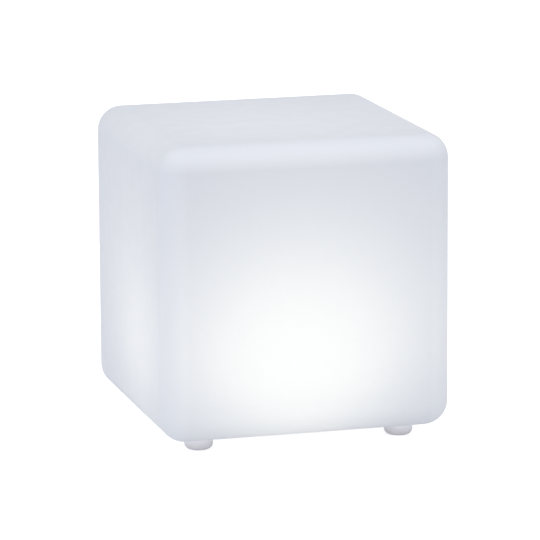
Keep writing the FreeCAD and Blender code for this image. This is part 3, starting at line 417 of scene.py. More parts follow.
# %% Pale rubber
FOOT_SHADE_RAMP = (0.5 * MM, 8 * MM)  # from the darkest height of the painted shade to the palest
FOOT_SHADE_BREAK = 0.16  # how far the pattern shifts the ramp
FOOT_PAINTED_LIGHT_FROM = 2 * MM
FOOT_PAINTED_LIGHT = 0.05  # painted light on the top of a foot

# Matte, and the pits take the shine off the rounded sole.
foot_rubber, tree, shader = new_material("moulded_pale_rubber", "#e3e3e6", 0.68, ior=1.52)
height = add(tree, "SeparateXYZ", {0: add(tree, "TexCoord").outputs["Object"]}).outputs["Z"]
# Painted shade: the rubber is darker towards the sole.
painted_shade_ramp = add(tree, "MapRange", {"Value": height, "From Min": FOOT_SHADE_RAMP[0], "From Max": FOOT_SHADE_RAMP[1]})
painted_shade_ramp = add(tree, "Math", {0: grain(tree, 5, 4.0), 1: FOOT_SHADE_BREAK, 2: painted_shade_ramp},
           operation="MULTIPLY_ADD")
vary_colour(tree, shader, painted_shade_ramp, "#cccbd2", "#f7f6fb", FOOT_SHADE_BREAK / 2, 1 + FOOT_SHADE_BREAK / 2)
# Painted light: the top of a foot glows faintly, more towards the cube.
painted_light = add(tree, "MapRange", {"Value": height, "From Min": FOOT_PAINTED_LIGHT_FROM,
                                 "From Max": FOOT_SHADE_RAMP[1], "To Max": FOOT_PAINTED_LIGHT},
              interpolation_type="SMOOTHSTEP")
painted_light = add(tree, "VectorMath", {0: linear("#ffffff")[:3], "Scale": painted_light}, operation="SCALE")
tree.links.new(painted_light.outputs[0], shader.inputs["Emission Color"])
shader.inputs["Emission Strength"].default_value = 1.0
vary_roughness(tree, shader, grain(tree, 2), 0.60, 0.76)
raise_surface(tree, shader, grain(tree, 0.6), 0.045)
wear(foot_rubber, "foot_front_left", "foot_front_right", "foot_back_left", "foot_back_right")

# %% [markdown]
# ## Plain stuffs
#
# Most other materials are told apart by a few values: colour, roughness, and the grain of tint,
# gloss and relief. One function sets them all. Rubber and silicone come first: the port cover's
# rubber is darker than the feet, and silicone copies a smooth mould.

# %% A plain stuff, and the other rubbers
def stuff(name, colour, roughness, tint, gloss=None, relief=None, **more):
    """Tint and gloss are two limits and a grain, relief a depth in millimetres and a grain."""
    material, tree, shader = new_material(name, colour, roughness, **more)
    dark, light, *size = tint
    vary_colour(tree, shader, grain(tree, *size), dark, light)
    if gloss:
        low, high, *size = gloss
        vary_roughness(tree, shader, grain(tree, *size), low, high)
    if relief:
        depth, *size = relief
        raise_surface(tree, shader, grain(tree, *size), depth)
    return material


# Matte all over, so the bolt on the cover shows only by its shading.
flap_rubber = stuff("moulded_grey_rubber", "#a3a5a9", 0.62, ("#9b9da2", "#abadb0", 4, 4.0),
                    relief=(0.05, 0.6), ior=1.52)
wear(flap_rubber, "port_cover")

# A satin band with a soft, slightly wavy highlight.
silicone = stuff("cast_silicone", "#b9bcc1", 0.42, ("#b7babf", "#bdbfc4", 6),
                 relief=(0.02, 2.5), ior=1.41)
wear(silicone, "seat_gasket", "button_oring", "lid_seal")

# %% [markdown]
# ## Moulded plastics
#
# The cover is injection moulded in white ABS, with the even matte grain of a spark-eroded mould
# (0.15 mm, drawn at 0.7 mm). The lid and the ring inside are the same plastic from a smoother
# mould, and the button is it again in grey. Switches and plugs are nylon, which stands the heat of
# soldering.

# %% Plastics
# No highlight, only a soft sheen that breaks up in the grain.
cover_plastic = stuff("moulded_white_abs", "#e8e9eb", 0.52, ("#e7e8ea", "#e9eaec", 9, 3.0),
                      gloss=(0.48, 0.60, 3), relief=(0.06, 0.7, 3.0), ior=1.54)
wear(cover_plastic, "base_cover")

# Glossier and faintly wavy, because the plastic sinks as it cools.
lid_plastic = stuff("smooth_white_abs", "#e6e6e4", 0.38, ("#e2e2e0", "#eaeae8", 22, 3.0),
                    gloss=(0.34, 0.44, 5), relief=(0.03, 9, 1.0), ior=1.54)
wear(lid_plastic, "module_lid", "diffuser_ring")

# A clear highlight in the hollow that the finger presses.
button_plastic = stuff("satin_grey_abs", "#9a9ca0", 0.36, ("#95979b", "#9fa1a5", 3, 3.0),
                       relief=(0.03, 0.5), ior=1.54)
wear(button_plastic, "power_button")

# Near black and dull: glass fibres at the skin scatter the gloss.
black_nylon = stuff("black_glass_filled_nylon", "#1c1c1d", 0.50, ("#171718", "#242425", 0.9, 4.0),
                    relief=(0.01, 0.4, 3.0), ior=1.53)
wear(black_nylon, "tact_switch", "switch_plunger", "charge_socket_tongue", "board_chips")

# Uncoloured, so it keeps the plastic's own warm ivory.
ivory_nylon = stuff("ivory_nylon", "#e2dac4", 0.40, ("#ddd4bc", "#e8e1cd", 2),
                    relief=(0.008, 0.5), ior=1.53)
wear(ivory_nylon, "battery_connector")

# %% [markdown]
# ## Metals
#
# Screws and washers are turned stainless steel, the inserts brass, the socket and the strap
# stamped sheet. Turning leaves rings round the axis, a grain that is finer along Z, and rolling
# leaves lines along the sheet. A stretched pattern gives both without a map. A metal keeps the
# default IOR: its colour is its reflection.

# %% Turned metals
RINGS = (1, 1, 6)
BANDS = (1, 1, 5)

# Bright, with fine rings that draw the highlight out round the head.
screw_steel = stuff("turned_stainless_steel", "#c3c3c4", 0.30, ("#bdbdbe", "#cacaca", 0.7, 2, RINGS),
                    gloss=(0.24, 0.34, 0.5, 2, RINGS), relief=(0.006, 0.5, 2, (1, 1, 8)),
                    metallic=1.0)
wear(screw_steel, "foot_screws", "foot_washers", "base_screws", "board_screws", "strap_screws",
     "lid_screws", "led_board_screws")

# Warm yellow, a little tarnished in bands.
brass = stuff("turned_brass", "#d0a35c", 0.30, ("#bf9350", "#dab272", 1.2, 3.0, BANDS),
              gloss=(0.24, 0.40, 0.9, 2, BANDS), metallic=1.0)
wear(brass, "foot_inserts", "seat_inserts")

# %% Sheet metals
DRAWN = (3, 3, 0.3)

# Rolling lines run along the strap and make its sheen streaky.
strap_steel = stuff("rolled_steel_strip", "#b9babb", 0.34, ("#aaabad", "#c6c6c6", 1, 3, (0.1, 3, 3)),
                    gloss=(0.26, 0.44, 1, 2, (0.1, 4, 4)), metallic=1.0)
wear(strap_steel, "battery_strap")

# A shade yellower than steel, with lines along the deep-drawn socket.
socket_plate = stuff("nickel_plated_steel", "#c8c5bf", 0.24,
                     ("#bdbab4", "#d2cfca", 1.5, 2, (1, 1, 0.3)),
                     gloss=(0.18, 0.32, 0.7, 2, (2, 2, 0.2)), metallic=1.0)
wear(socket_plate, "charge_socket")

# The palest metal here, with upright lines.
can_aluminium = stuff("drawn_aluminium", "#d9dadb", 0.28, ("#cdced0", "#e2e2e3", 1, 2, DRAWN),
                      gloss=(0.22, 0.36, 0.8, 2, DRAWN), metallic=1.0)
wear(can_aluminium, "board_capacitors")

# %% [markdown]
# ## The two boards
#
# The control board is glass-epoxy laminate under a green solder mask: the copper tracks below it
# show as lighter lines that turn at 45 degrees. Cell borders measured along the axes do that:
# there the nearest and the second nearest point are equally far away. The light source is a board
# of aluminium with a white enamel that throws the light upwards.

# %% Boards
TRACK_SPACING = 3.6
TRACK_UNEVENNESS = 0.55
TRACK_EDGE = (0.03, 0.06)  # from the middle of a line to its edge, in cells
FLAT = (1.0, 1.0, 0.02)  # the tracks hardly change through the board

# Dark green gloss with paler, slightly raised lines.
laminate, tree, shader = new_material("green_solder_mask", "#1f6b3d", 0.30, ior=1.55)
place = add(tree, "TexCoord").outputs["Object"]
place = add(tree, "Mapping", {"Vector": place, "Scale": FLAT})
near, far = (add(tree, "TexVoronoi", {"Vector": place, "Scale": scale_of(TRACK_SPACING),
                                      "Randomness": TRACK_UNEVENNESS},
                 distance="CHEBYCHEV", feature=feature) for feature in ("F1", "F2"))
tracks = add(tree, "Math", {0: far, 1: near}, operation="SUBTRACT")
vary_colour(tree, shader, tracks, "#257845", "#1b653a", *TRACK_EDGE)
raise_surface(tree, shader, tracks, 0.02, 0.4)
wear(laminate, "control_board")

# Fired enamel: clean white with an even, soft gloss.
enamel = stuff("white_enamelled_aluminium", "#efefec", 0.32, ("#ececea", "#f2f2f0", 6),
               relief=(0.01, 1.5), ior=1.52)
wear(enamel, "led_board")

# A little warmer and duller than the enamel, so each case shows on it.
led_case = stuff("white_led_case", "#e9e8e2", 0.40, ("#e7e6e0", "#ecebe6", 0.4), ior=1.55)
wear(led_case, "led_packages")

# %% [markdown]
# ## Cell, pads, coil and wires
#
# The cell is a pouch in shrunk plastic film, which pulls tight in shallow waves. It lies on foam,
# and the light source on a soft pad that carries its heat away. A pattern at the size of each
# stuff's own structure tells them apart.

# %% The stuffs round the cell
FOAM_CELL = 0.6

# Pressed powder: dark grey and dry.
ferrite = stuff("pressed_ferrite", "#3a3a3d", 0.62, ("#323235", "#434346", 0.5, 5.0),
                relief=(0.015, 0.3, 3.0), ior=1.8)
wear(ferrite, "power_inductor")

# Glossy blue film whose waves bend the reflections.
cell_wrap = stuff("shrink_wrap_film", "#5c6f92", 0.22, ("#566989", "#62769b", 12, 3.0),
                  relief=(0.12, 7, 2, (0.4, 1, 1)), ior=1.54)
wear(cell_wrap, "battery_cell")

# Dull and full of small holes, with painted shade inside each hole.
foam, tree, shader = new_material("open_cell_foam", "#4a4a4c", 0.92, ior=1.45)
cells = add(tree, "TexVoronoi", {"Vector": add(tree, "TexCoord").outputs["Object"],
                                 "Scale": scale_of(FOAM_CELL)})
vary_colour(tree, shader, cells, "#2e2e30", "#58585a", 0.1, 0.7)
raise_surface(tree, shader, cells, 0.15)
wear(foam, "battery_pad")

# Chalky grey, speckled by its ceramic powder.
gap_pad = stuff("ceramic_filled_silicone", "#8e939a", 0.70, ("#858a92", "#979ba1", 0.6, 4.0),
                relief=(0.02, 0.5), ior=1.45)
wear(gap_pad, "thermal_pad")

# Drawn white film with a papery look, its fibres all one way.
membrane = stuff("stretched_ptfe_membrane", "#f0f0ee", 0.78,
                 ("#e6e6e4", "#f4f4f2", 0.5, 5.0, (1, 3, 1)),
                 relief=(0.03, 0.4, 4.0, (1, 4, 1)), ior=1.35)
wear(membrane, "breather_vent")

# %% Wires
WIRES = {"red": ("#b3201a", "#a81c17", "#bd2720"), "black": ("#1d1d1f", "#19191b", "#252527")}

# Extruded and smooth, with one long soft highlight down each wire.
for name, (colour, dark, light) in WIRES.items():
    insulation = stuff(name + "_pvc_insulation", colour, 0.34, (dark, light, 2),
                       relief=(0.01, 1), ior=1.54)
    wear(insulation, "battery_lead_" + name, "led_lead_" + name)

# %% [markdown]
# ## Clear and frosted parts
#
# The light pipe is acrylic with a frosted end, which looks pale while the indicator is off. The
# cap over the light source is polycarbonate with a frosted inside, and glows evenly.

# %% Light pipe, indicator and frosted cap
# Half clear, half milky: a pale dot in the cover.
frosted_acrylic, tree, shader = new_material("frosted_acrylic", "#eef2f4", 0.22, ior=1.49)
shader.inputs["Transmission Weight"].default_value = 0.5
vary_roughness(tree, shader, grain(tree, 0.8), 0.16, 0.30)
raise_surface(tree, shader, grain(tree, 0.4), 0.01)
wear(frosted_acrylic, "light_pipe", "indicator_led")

# A dull white dome with a slightly warm light of its own.
frosted, tree, shader = new_material("frosted_polycarbonate", "#eceef0", 0.55, ior=1.585)
vary_colour(tree, shader, grain(tree, 15), "#e9ebee", "#f0f1f3")
raise_surface(tree, shader, grain(tree, 0.6), 0.02)
shader.inputs["Emission Color"].default_value = linear("#fffaf0")
shader.inputs["Emission Strength"].default_value = 0.14
wear(frosted, "light_diffuser")

# %% [markdown]
# ## Small parts that the imported model leaves out
#
# Symbols, contacts, solder, chip legs and threads are too fine for the imported model, so they are
# modelled here. Each starts from a bmesh operator's block, disc or strip, gets its edges rounded a
# little, and rides on the body that carries it. Even at a tenth of a millimetre a rounded edge
# catches a line of light, which a knife edge never does.

# %% Blocks, discs, strips and spun shapes
def bar(shape, centre, size, turn=0.0):
    """Adds a block, in millimetres, turned about its own upright axis."""
    matrix = (Matrix.Translation(Vector(centre) * MM) @ Matrix.Rotation(turn, 4, "Z")
              @ Matrix.Diagonal((size[0] * MM, size[1] * MM, size[2] * MM, 1.0)))
    bmesh.ops.create_cube(shape, size=1.0, matrix=matrix)


def disc(shape, centre, radius, height, segments=24):
    """Adds a short closed cylinder, in millimetres, and returns its upper face."""
    made = bmesh.ops.create_cone(shape, cap_ends=True, segments=segments, radius1=radius * MM,
                                 radius2=radius * MM, depth=height * MM,
                                 matrix=Matrix.Translation(Vector(centre) * MM))["verts"]
    faces = {face for vert in made for face in vert.link_faces}
    return max(faces, key=lambda face: face.calc_center_median().z)


def bulge(shape, face, steps):
    """Raises a face into a low dome, each step up and inward by some millimetres."""
    for rise, inward in steps:
        bmesh.ops.inset_individual(shape, faces=[face], thickness=inward * MM, depth=rise * MM)


def strip(shape, start, end, path, thickness):
    """Draws an edge from start to end along a path, and thickens the strip it leaves."""
    ends = [bmesh.ops.create_vert(shape, co=Vector(point) * MM)["vert"][0]
            for point in (start, end)]
    edge = bmesh.ops.contextual_create(shape, geom=ends)["edges"]
    faces = []
    for step in path:
        made = bmesh.ops.extrude_edge_only(shape, edges=edge)["geom"]
        faces += [part for part in made if isinstance(part, bmesh.types.BMFace)]
        edge = [part for part in made if isinstance(part, bmesh.types.BMEdge)
                and all(vert not in ends for vert in part.verts)]
        ends = edge[0].verts[:]
        bmesh.ops.translate(shape, verts=ends, vec=Vector(step) * MM)
    bmesh.ops.solidify(shape, geom=faces, thickness=thickness * MM)


def spin_open(shape, outline, centre, turn, steps, rise=0.0):
    """Spins an outline about an upright axis, up by a rise each step, and caps its far end."""
    spun = bmesh.ops.spin(shape, geom=outline, cent=Vector(centre) * MM, axis=(0, 0, 1),
                          dvec=(0, 0, rise * MM), angle=turn, steps=steps, use_merge=False)
    far_end = [part for part in spun["geom_last"] if isinstance(part, bmesh.types.BMEdge)]
    bmesh.ops.contextual_create(shape, geom=far_end)


print("a tenth of a millimetre is", 0.1 * MM, "m")

# %% Soft edges and the last step
SMOOTH_BELOW = math.radians(25)


def soften(shape, offset, segments=2, sharper_than=30):
    """Rounds every edge sharper than this angle, by an offset in millimetres."""
    edges = [edge for edge in shape.edges if len(edge.link_faces) == 2
             and edge.calc_face_angle() > math.radians(sharper_than)]
    bmesh.ops.bevel(shape, geom=edges, offset=offset * MM, segments=segments, profile=0.5,
                    affect="EDGES", material=-1)


def fit(name, shape, material, body):
    """Finishes a piece, shades it smooth across gentle bends, and lets it ride on a body."""
    piece = finished(name, shape, material)
    piece.data.shade_smooth()
    piece.data.set_sharp_from_angle(angle=SMOOTH_BELOW)
    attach(piece, body)
    print(name, "has", len(piece.data.polygons), "faces")


def middle(name):
    """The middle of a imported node, in millimetres."""
    low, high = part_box(name)
    return (Vector(low) + Vector(high)) / 2 / MM


def on_circle(radius, how_many, first=0):
    """Places round a circle, in millimetres, from a first angle in degrees."""
    angles = [math.radians(first + 360 * count / how_many) for count in range(how_many)]
    return [(radius * math.cos(angle), radius * math.sin(angle)) for angle in angles]


print("button at", middle("power_button")[:2], "port cover at", middle("port_cover")[:2])

# %% [markdown]
# ## The symbols on the controls
#
# The push button carries the usual power symbol, a ring open at the front with a bar in the gap.
# It is white plastic moulded into the grey, a quarter of a millimetre proud. The ring is a small
# rectangle spun round the button's axis for less than a full turn, so it needs a cap at its far
# end.
#
# The port cover is rubber, and its bolt and grip ribs are the same rubber. The bolt is one face
# through six corners, made thick.

# %% Power symbol
SYMBOL_RADIUS = 2.15
SYMBOL_LINE = 0.52
SYMBOL_GAP = math.radians(76)
SYMBOL_TOP = 10.08  # the lower height, because the button faces down
SYMBOL_ROOT = 10.60
SYMBOL_HEIGHT = SYMBOL_ROOT - SYMBOL_TOP
SYMBOL_BAR = (1.75, 2.1)  # how far in front of the middle, and how long

# Clean white, a touch duller than the button round it.
printed_white = stuff("moulded_in_white_abs", "#f0f0ef", 0.40, ("#e9e9e8", "#f4f4f3", 1.2, 3.0),
                      relief=(0.006, 0.4), ior=1.54)

button = middle("power_button")
button.z = (SYMBOL_TOP + SYMBOL_ROOT) / 2
shape = bmesh.new()
section = (Matrix.Translation(button * MM) @ Matrix.Rotation(SYMBOL_GAP / 2, 4, "Z")
           @ Matrix.Translation((0, -SYMBOL_RADIUS * MM, 0)) @ Matrix.Rotation(math.pi / 2, 4, "Y")
           @ Matrix.Diagonal((SYMBOL_HEIGHT * MM, SYMBOL_LINE * MM, 1, 1)))
bmesh.ops.create_grid(shape, x_segments=1, y_segments=1, size=0.5, matrix=section)
spin_open(shape, shape.edges[:], button, 2 * math.pi - SYMBOL_GAP, 40)
bar(shape, button - Vector((0, SYMBOL_BAR[0], 0)), (SYMBOL_LINE, SYMBOL_BAR[1], SYMBOL_HEIGHT))
bmesh.ops.recalc_face_normals(shape, faces=shape.faces)
soften(shape, 0.10)
fit("power_symbol", shape, printed_white, "button")

# %% Bolt and grip ribs
BOLT_CORNERS = ((0.45, 2.7), (-1.4, -0.35), (-0.2, -0.35), (-0.45, -2.7), (1.4, 0.35), (0.2, 0.35))
BOLT_MIDDLE_Y = -35.0
RELIEF = 0.28  # how far bolt and ribs stand proud
SUNK = 0.2  # how deep the bolt starts in the rubber
RIB_PLACES = (-41.4, -40.4, -39.4)
RIB = (6.4, 0.5)  # long and wide

cover_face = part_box("port_cover")[0][2] / MM
port = middle("port_cover")
shape = bmesh.new()
corners = []
for x, y in BOLT_CORNERS:
    corner = Vector((port.x - x, BOLT_MIDDLE_Y - y, cover_face + SUNK)) * MM
    corners += bmesh.ops.create_vert(shape, co=corner)["vert"]
bolt = bmesh.ops.contextual_create(shape, geom=corners)["faces"]
raised = bmesh.ops.extrude_face_region(shape, geom=bolt, use_keep_orig=True)["geom"]
raised = [part for part in raised if isinstance(part, bmesh.types.BMVert)]
bmesh.ops.translate(shape, verts=raised, vec=(0, 0, -(RELIEF + SUNK) * MM))
for rib_y in RIB_PLACES:
    bar(shape, (port.x, rib_y, cover_face), (*RIB, 2 * RELIEF))
bmesh.ops.recalc_face_normals(shape, faces=shape.faces)
soften(shape, 0.09)
fit("port_cover_relief", shape, flap_rubber, "port_flap")

# %% [markdown]
# ## Marks of the mould on the cover
#
# Molten plastic enters the mould at one point, on a round cover in the middle, and leaves a small
# clipped stub there, in a ring. The ring is a small circle spun once round, the stub a disc with
# soft edges.

# %% Gate mark
COVER_FACE = 10.0
GATE_RING = (3.4, 0.16)  # radius, and radius of its section
GATE_STUB = (0.8, 0.24)  # radius and height

shape = bmesh.new()
section = (Matrix.Translation((GATE_RING[0] * MM, 0, COVER_FACE * MM))
           @ Matrix.Rotation(math.pi / 2, 4, "X"))
bmesh.ops.create_circle(shape, segments=10, radius=GATE_RING[1] * MM, matrix=section)
bmesh.ops.spin(shape, geom=shape.edges[:], cent=(0, 0, 0), axis=(0, 0, 1), dvec=(0, 0, 0),
               angle=2 * math.pi, steps=56, use_merge=True)
disc(shape, (0, 0, COVER_FACE), *GATE_STUB, segments=32)
soften(shape, 0.06, segments=3, sharper_than=50)
fit("cover_gate_mark", shape, cover_plastic, "lamp")

# %% [markdown]
# ## Contacts, legs and solder
#
# The socket's tongue carries twelve gold-plated strips on each side. On the control board one chip
# stands on bent legs, the flat ones have solder along their sides, and small ceramic capacitors
# sit between them, all on the board's lower face. Gold and tin are thin platings, so they are
# smooth and bright.

# %% Gold strips
CONTACTS = 12
CONTACT_PITCH = 0.5
CONTACT = (0.26, 0.08, 3.2)
CONTACT_RISE = 2.0  # from the tongue's end to the middle of a strip

# A thin warm line of light on each strip.
gold = stuff("gold_plating", "#e6bd62", 0.20, ("#ddb056", "#edc873", 0.8),
             gloss=(0.14, 0.28, 0.4), metallic=1.0)

tongue_low, tongue_high = (Vector(corner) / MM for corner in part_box("charge_socket_tongue"))
tongue_x = middle("charge_socket_tongue").x
shape = bmesh.new()
for count in range(CONTACTS):
    contact_x = tongue_x + (count - (CONTACTS - 1) / 2) * CONTACT_PITCH
    for side_y in (tongue_low.y, tongue_high.y):
        bar(shape, (contact_x, side_y, tongue_low.z + CONTACT_RISE), CONTACT)
soften(shape, 0.03, segments=1)
fit("socket_contacts", shape, gold, "lamp")

# %% Chip legs and solder
BOARD_FACE = 19.4
LEG_SHEET = 0.15
LEGGED_CHIP = (-9.0, -25.0, 4.0)  # middle and width
CHIP_LEG = ((0.35, 0), (0.15, 0.12), (0.1, 0.52), (0.15, 0.10), (0.5, 0))  # steps out and up
CHIP_LEG_PITCH = 1.27
CHIP_LEG_ROOT = (0.2, 0.8)  # half its width, and how far it starts below the board
SWITCH_LEG = ((0.3, 0), (0.15, 0.15), (0.1, 0.6), (0.15, 0.1), (0.6, 0))
SWITCH_LEG_PLACE = (2.9, 2.25)  # from the switch's middle
SWITCH_LEG_ROOT = (0.35, 0.9)
FLAT_CHIPS = ((0.0, -25.0, 5.0, 8), (-17.0, -23.0, 3.0, 4), (-22.5, -23.0, 3.0, 4),
              (6.5, -26.5, 3.0, 4))  # middle, side and pads on each side
PAD = (0.28, 0.36, 0.24)
PAD_MARGIN = 0.9  # of a chip's side, without pads
OVERLAP = 0.1

# Bright and slightly wavy, so it sparkles between the dark chips.
tin = stuff("bright_tin_solder", "#cfd1d3", 0.22, ("#bec0c3", "#dadbdd", 0.7, 3.0),
            gloss=(0.16, 0.34, 0.4), relief=(0.02, 0.5), metallic=1.0)

shape = bmesh.new()
chip_x, chip_y, chip_width = LEGGED_CHIP
half, below = CHIP_LEG_ROOT
for count in range(4):
    leg_x = chip_x + (count - 1.5) * CHIP_LEG_PITCH
    for side in (-1, 1):
        out = chip_y + side * (chip_width / 2 - OVERLAP)
        strip(shape, (leg_x - half, out, BOARD_FACE - below),
              (leg_x + half, out, BOARD_FACE - below),
              [(0, side * step, rise) for step, rise in CHIP_LEG], LEG_SHEET)
for x, y, side_length, pads in FLAT_CHIPS:
    pitch = (side_length - PAD_MARGIN) / (pads - 1)
    for count in range(pads):
        along = (count - (pads - 1) / 2) * pitch
        for out in (-side_length / 2 - OVERLAP, side_length / 2 + OVERLAP):
            bar(shape, (x + along, y + out, BOARD_FACE - PAD[2] / 2), PAD)
            bar(shape, (x + out, y + along, BOARD_FACE - PAD[2] / 2), (PAD[1], PAD[0], PAD[2]))
switch_x, switch_y = middle("tact_switch")[:2]
half, below = SWITCH_LEG_ROOT
for side in (-1, 1):
    for leg_y in (switch_y - SWITCH_LEG_PLACE[1], switch_y + SWITCH_LEG_PLACE[1]):
        out = switch_x + side * SWITCH_LEG_PLACE[0]
        strip(shape, (out, leg_y - half, BOARD_FACE - below),
              (out, leg_y + half, BOARD_FACE - below),
              [(side * step, 0, rise) for step, rise in SWITCH_LEG], LEG_SHEET)
bmesh.ops.recalc_face_normals(shape, faces=shape.faces)
soften(shape, 0.04, segments=1)
fit("chip_solder", shape, tin, "lamp")

# %% Ceramic capacitors
CERAMICS = ((-3.6, -30.2, 0), (-1.2, -30.2, 0), (1.2, -30.2, 0), (3.6, -30.2, 0),
            (-13.6, -21.4, 90), (-13.6, -24.0, 90), (-13.4, -28.0, 0), (-22.6, -27.2, 0),
            (-19.6, -27.2, 0), (-16.6, -27.2, 0), (10.2, -29.6, 90), (22.2, -21.8, 90),
            (24.2, -21.8, 90))  # middle and turn in degrees
CERAMIC_BODY = (0.95, 0.78, 0.76)
CERAMIC_END = (0.36, 0.84, 0.84)
END_FROM_MIDDLE = 0.62

# Biscuit brown and dry, with the fine pores of fired powder.
ceramic = stuff("tan_fired_ceramic", "#b99a72", 0.45, ("#ab8c65", "#c4a67e", 0.5, 4.0),
                relief=(0.008, 0.3), ior=1.7)

bodies = bmesh.new()
ends = bmesh.new()
for x, y, degrees in CERAMICS:
    turn = math.radians(degrees)
    centre = Vector((x, y, BOARD_FACE - CERAMIC_END[2] / 2))
    bar(bodies, centre, CERAMIC_BODY, turn)
    for side in (-1, 1):
        end = Vector((side * END_FROM_MIDDLE, 0, 0))
        end.rotate(Matrix.Rotation(turn, 3, "Z"))
        bar(ends, centre + end, CERAMIC_END, turn)
soften(bodies, 0.05)
soften(ends, 0.10)
fit("ceramic_capacitors", bodies, ceramic, "lamp")
fit("ceramic_capacitor_ends", ends, tin, "lamp")

# %% [markdown]
# ## Print on the control board
#
# White ink outlines each part and marks one corner with a dot, which shows the assembler where it
# goes. Real ink has a thickness, so it is made as thin frames rather than as a picture: a face is
# inset, its middle taken out, and the rest made thick.

# %% White outlines and dots
OUTLINES = ((0.0, -25.0, 6.6, 6.6), (-9.0, -25.0, 6.2, 7.0), (-17.0, -23.0, 4.4, 4.4),
            (-22.5, -23.0, 4.4, 4.4), (6.5, -26.5, 4.4, 4.4), (-31.0, -24.0, 8.2, 8.2),
            (16.0, -21.2, 9.0, 6.6), (-18.0, -37.0, 7.4, 7.4))  # middle, length and width
INK_LINE = 0.16
INK_HEIGHT = 0.02
INK_DOT = 0.22
INK_DOT_AWAY = (0.5, -0.3)  # outward from the outline's corner

# Chalky white, a little thin in places as screen print is.
ink = stuff("white_screen_ink", "#eef0ec", 0.60, ("#dfe2dd", "#f3f4f1", 0.4, 3.0))

ink_face = BOARD_FACE - INK_HEIGHT
shape = bmesh.new()
for x, y, length, width in OUTLINES:
    matrix = (Matrix.Translation(Vector((x, y, ink_face)) * MM)
              @ Matrix.Diagonal((length, width, 1, 1)))
    grid = bmesh.ops.create_grid(shape, x_segments=1, y_segments=1, size=0.5 * MM, matrix=matrix)
    inner = list({face for vert in grid["verts"] for face in vert.link_faces})
    bmesh.ops.inset_individual(shape, faces=inner, thickness=INK_LINE * MM)
    bmesh.ops.delete(shape, geom=inner, context="FACES")
    dot = (x - length / 2 - INK_DOT_AWAY[0], y - width / 2 - INK_DOT_AWAY[1], BOARD_FACE)
    disc(shape, dot, INK_DOT, 2 * INK_HEIGHT, 12)
frames = [face for face in shape.faces if len(face.verts) == 4
          and abs(face.calc_center_median().z - ink_face * MM) < SAME_POINT]
bmesh.ops.solidify(shape, geom=frames, thickness=INK_HEIGHT * MM)
fit("board_print", shape, ink, "lamp")

# %% [markdown]
# ## The light source
#
# Each package on the light source's board is a white cup of clear silicone with a yellow phosphor
# in it, which turns part of the chip's blue light into yellow: together they look white. The
# filling is poured, and its skin pulls it into a low dome. The two leads end in domes of solder on
# copper pads, with a plus and a minus printed beside them.

# %% Phosphor filling
LED_RINGS = ((0.0, 1), (11.5, 6), (23.0, 12, 15))  # radius, packages and first angle
FILLING = (1.97, 0.16)  # radius and height
FILLING_MIDDLE = 28.88
FILLING_DOME = ((0.09, 0.35), (0.06, 0.55), (0.03, 0.60))

# Egg-yolk yellow under a wet gloss.
phosphor = stuff("phosphor_silicone", "#e9d45a", 0.18, ("#e5cf54", "#edd964", 0.3),
                 relief=(0.01, 1), ior=1.41)

shape = bmesh.new()
for ring in LED_RINGS:
    for x, y in on_circle(*ring):
        bulge(shape, disc(shape, (x, y, FILLING_MIDDLE), *FILLING), FILLING_DOME)
fit("phosphor_domes", shape, phosphor, "lamp")

# %% Solder and print of the light source
LEAD_ENDS = ((-26.55, -14.44), (-25.20, -16.67))
SOURCE_FACE = 27.7
COPPER_PAD = (1.05, 0.08)
SOLDER = (0.95, 0.4)
SOLDER_DOME = ((0.25, 0.15), (0.18, 0.25), (0.07, 0.30))
SIGN_AWAY = (2.1, 1.2)  # from the end of its lead
SIGN = (1.3, 0.28, 0.04)

shape = bmesh.new()
for x, y in LEAD_ENDS:
    disc(shape, (x, y, SOURCE_FACE), *COPPER_PAD)
    bulge(shape, disc(shape, (x, y, SOURCE_FACE + SOLDER[1] / 2), *SOLDER), SOLDER_DOME)
fit("source_solder", shape, tin, "lamp")

# Dark grey, because thin ink lets the white below through.
dark_ink = stuff("grey_screen_ink", "#4c4e52", 0.60, ("#444649", "#5a5c60", 0.4, 3.0))

shape = bmesh.new()
plus, minus = ((x + SIGN_AWAY[0], y + SIGN_AWAY[1], SOURCE_FACE + 0.01) for x, y in LEAD_ENDS)
bar(shape, plus, SIGN)
bar(shape, plus, (SIGN[1], SIGN[0], 0.05))
bar(shape, minus, SIGN)
fit("source_print", shape, dark_ink, "lamp")

# %% [markdown]
# ## Print on the round capacitors
#
# The can of a round capacitor has a dark segment on its end, which marks its minus side, so that
# nobody solders it the wrong way round. It is a thin disc cut off along a chord.

# %% Dark segments
CAN_PLACES = ((30.5, -23.5), (29.0, -31.0))
SEGMENT = (2.15, 0.04)  # radius and height
CHORD_FROM_AXIS = 0.9

can_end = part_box("board_capacitors")[0][2] / MM
shape = bmesh.new()
for x, y in CAN_PLACES:
    disc(shape, (x, y, can_end), *SEGMENT, segments=40)
    chord = x - CHORD_FROM_AXIS
    bmesh.ops.bisect_plane(shape, geom=shape.verts[:] + shape.edges[:] + shape.faces[:],
                           plane_co=Vector((chord, y, 0)) * MM, plane_no=(1, 0, 0))
    cut = [vert for vert in shape.verts if vert.co.x / MM > chord + 1e-4
           and abs(vert.co.y / MM - y) < SEGMENT[0] + 1]
    bmesh.ops.delete(shape, geom=cut, context="VERTS")
bmesh.ops.holes_fill(shape, edges=shape.edges[:], sides=0)
fit("capacitor_print", shape, dark_ink, "lamp")

# %% [markdown]
# ## The cell's tape
#
# The end of the cell where the leads come out is wrapped in amber polyimide tape, which stands the
# heat of the welded tabs. It is a strip drawn round that side: a run, a bend in three short steps,
# the cell's height, and the same back.

# %% Amber tape
TAPE_SIDES = (8.0, 24.0)
TAPE_SHEET = 0.06
TAPE_BEND = ((-0.62, -0.10), (-0.42, -0.40), (-0.21, -0.70))

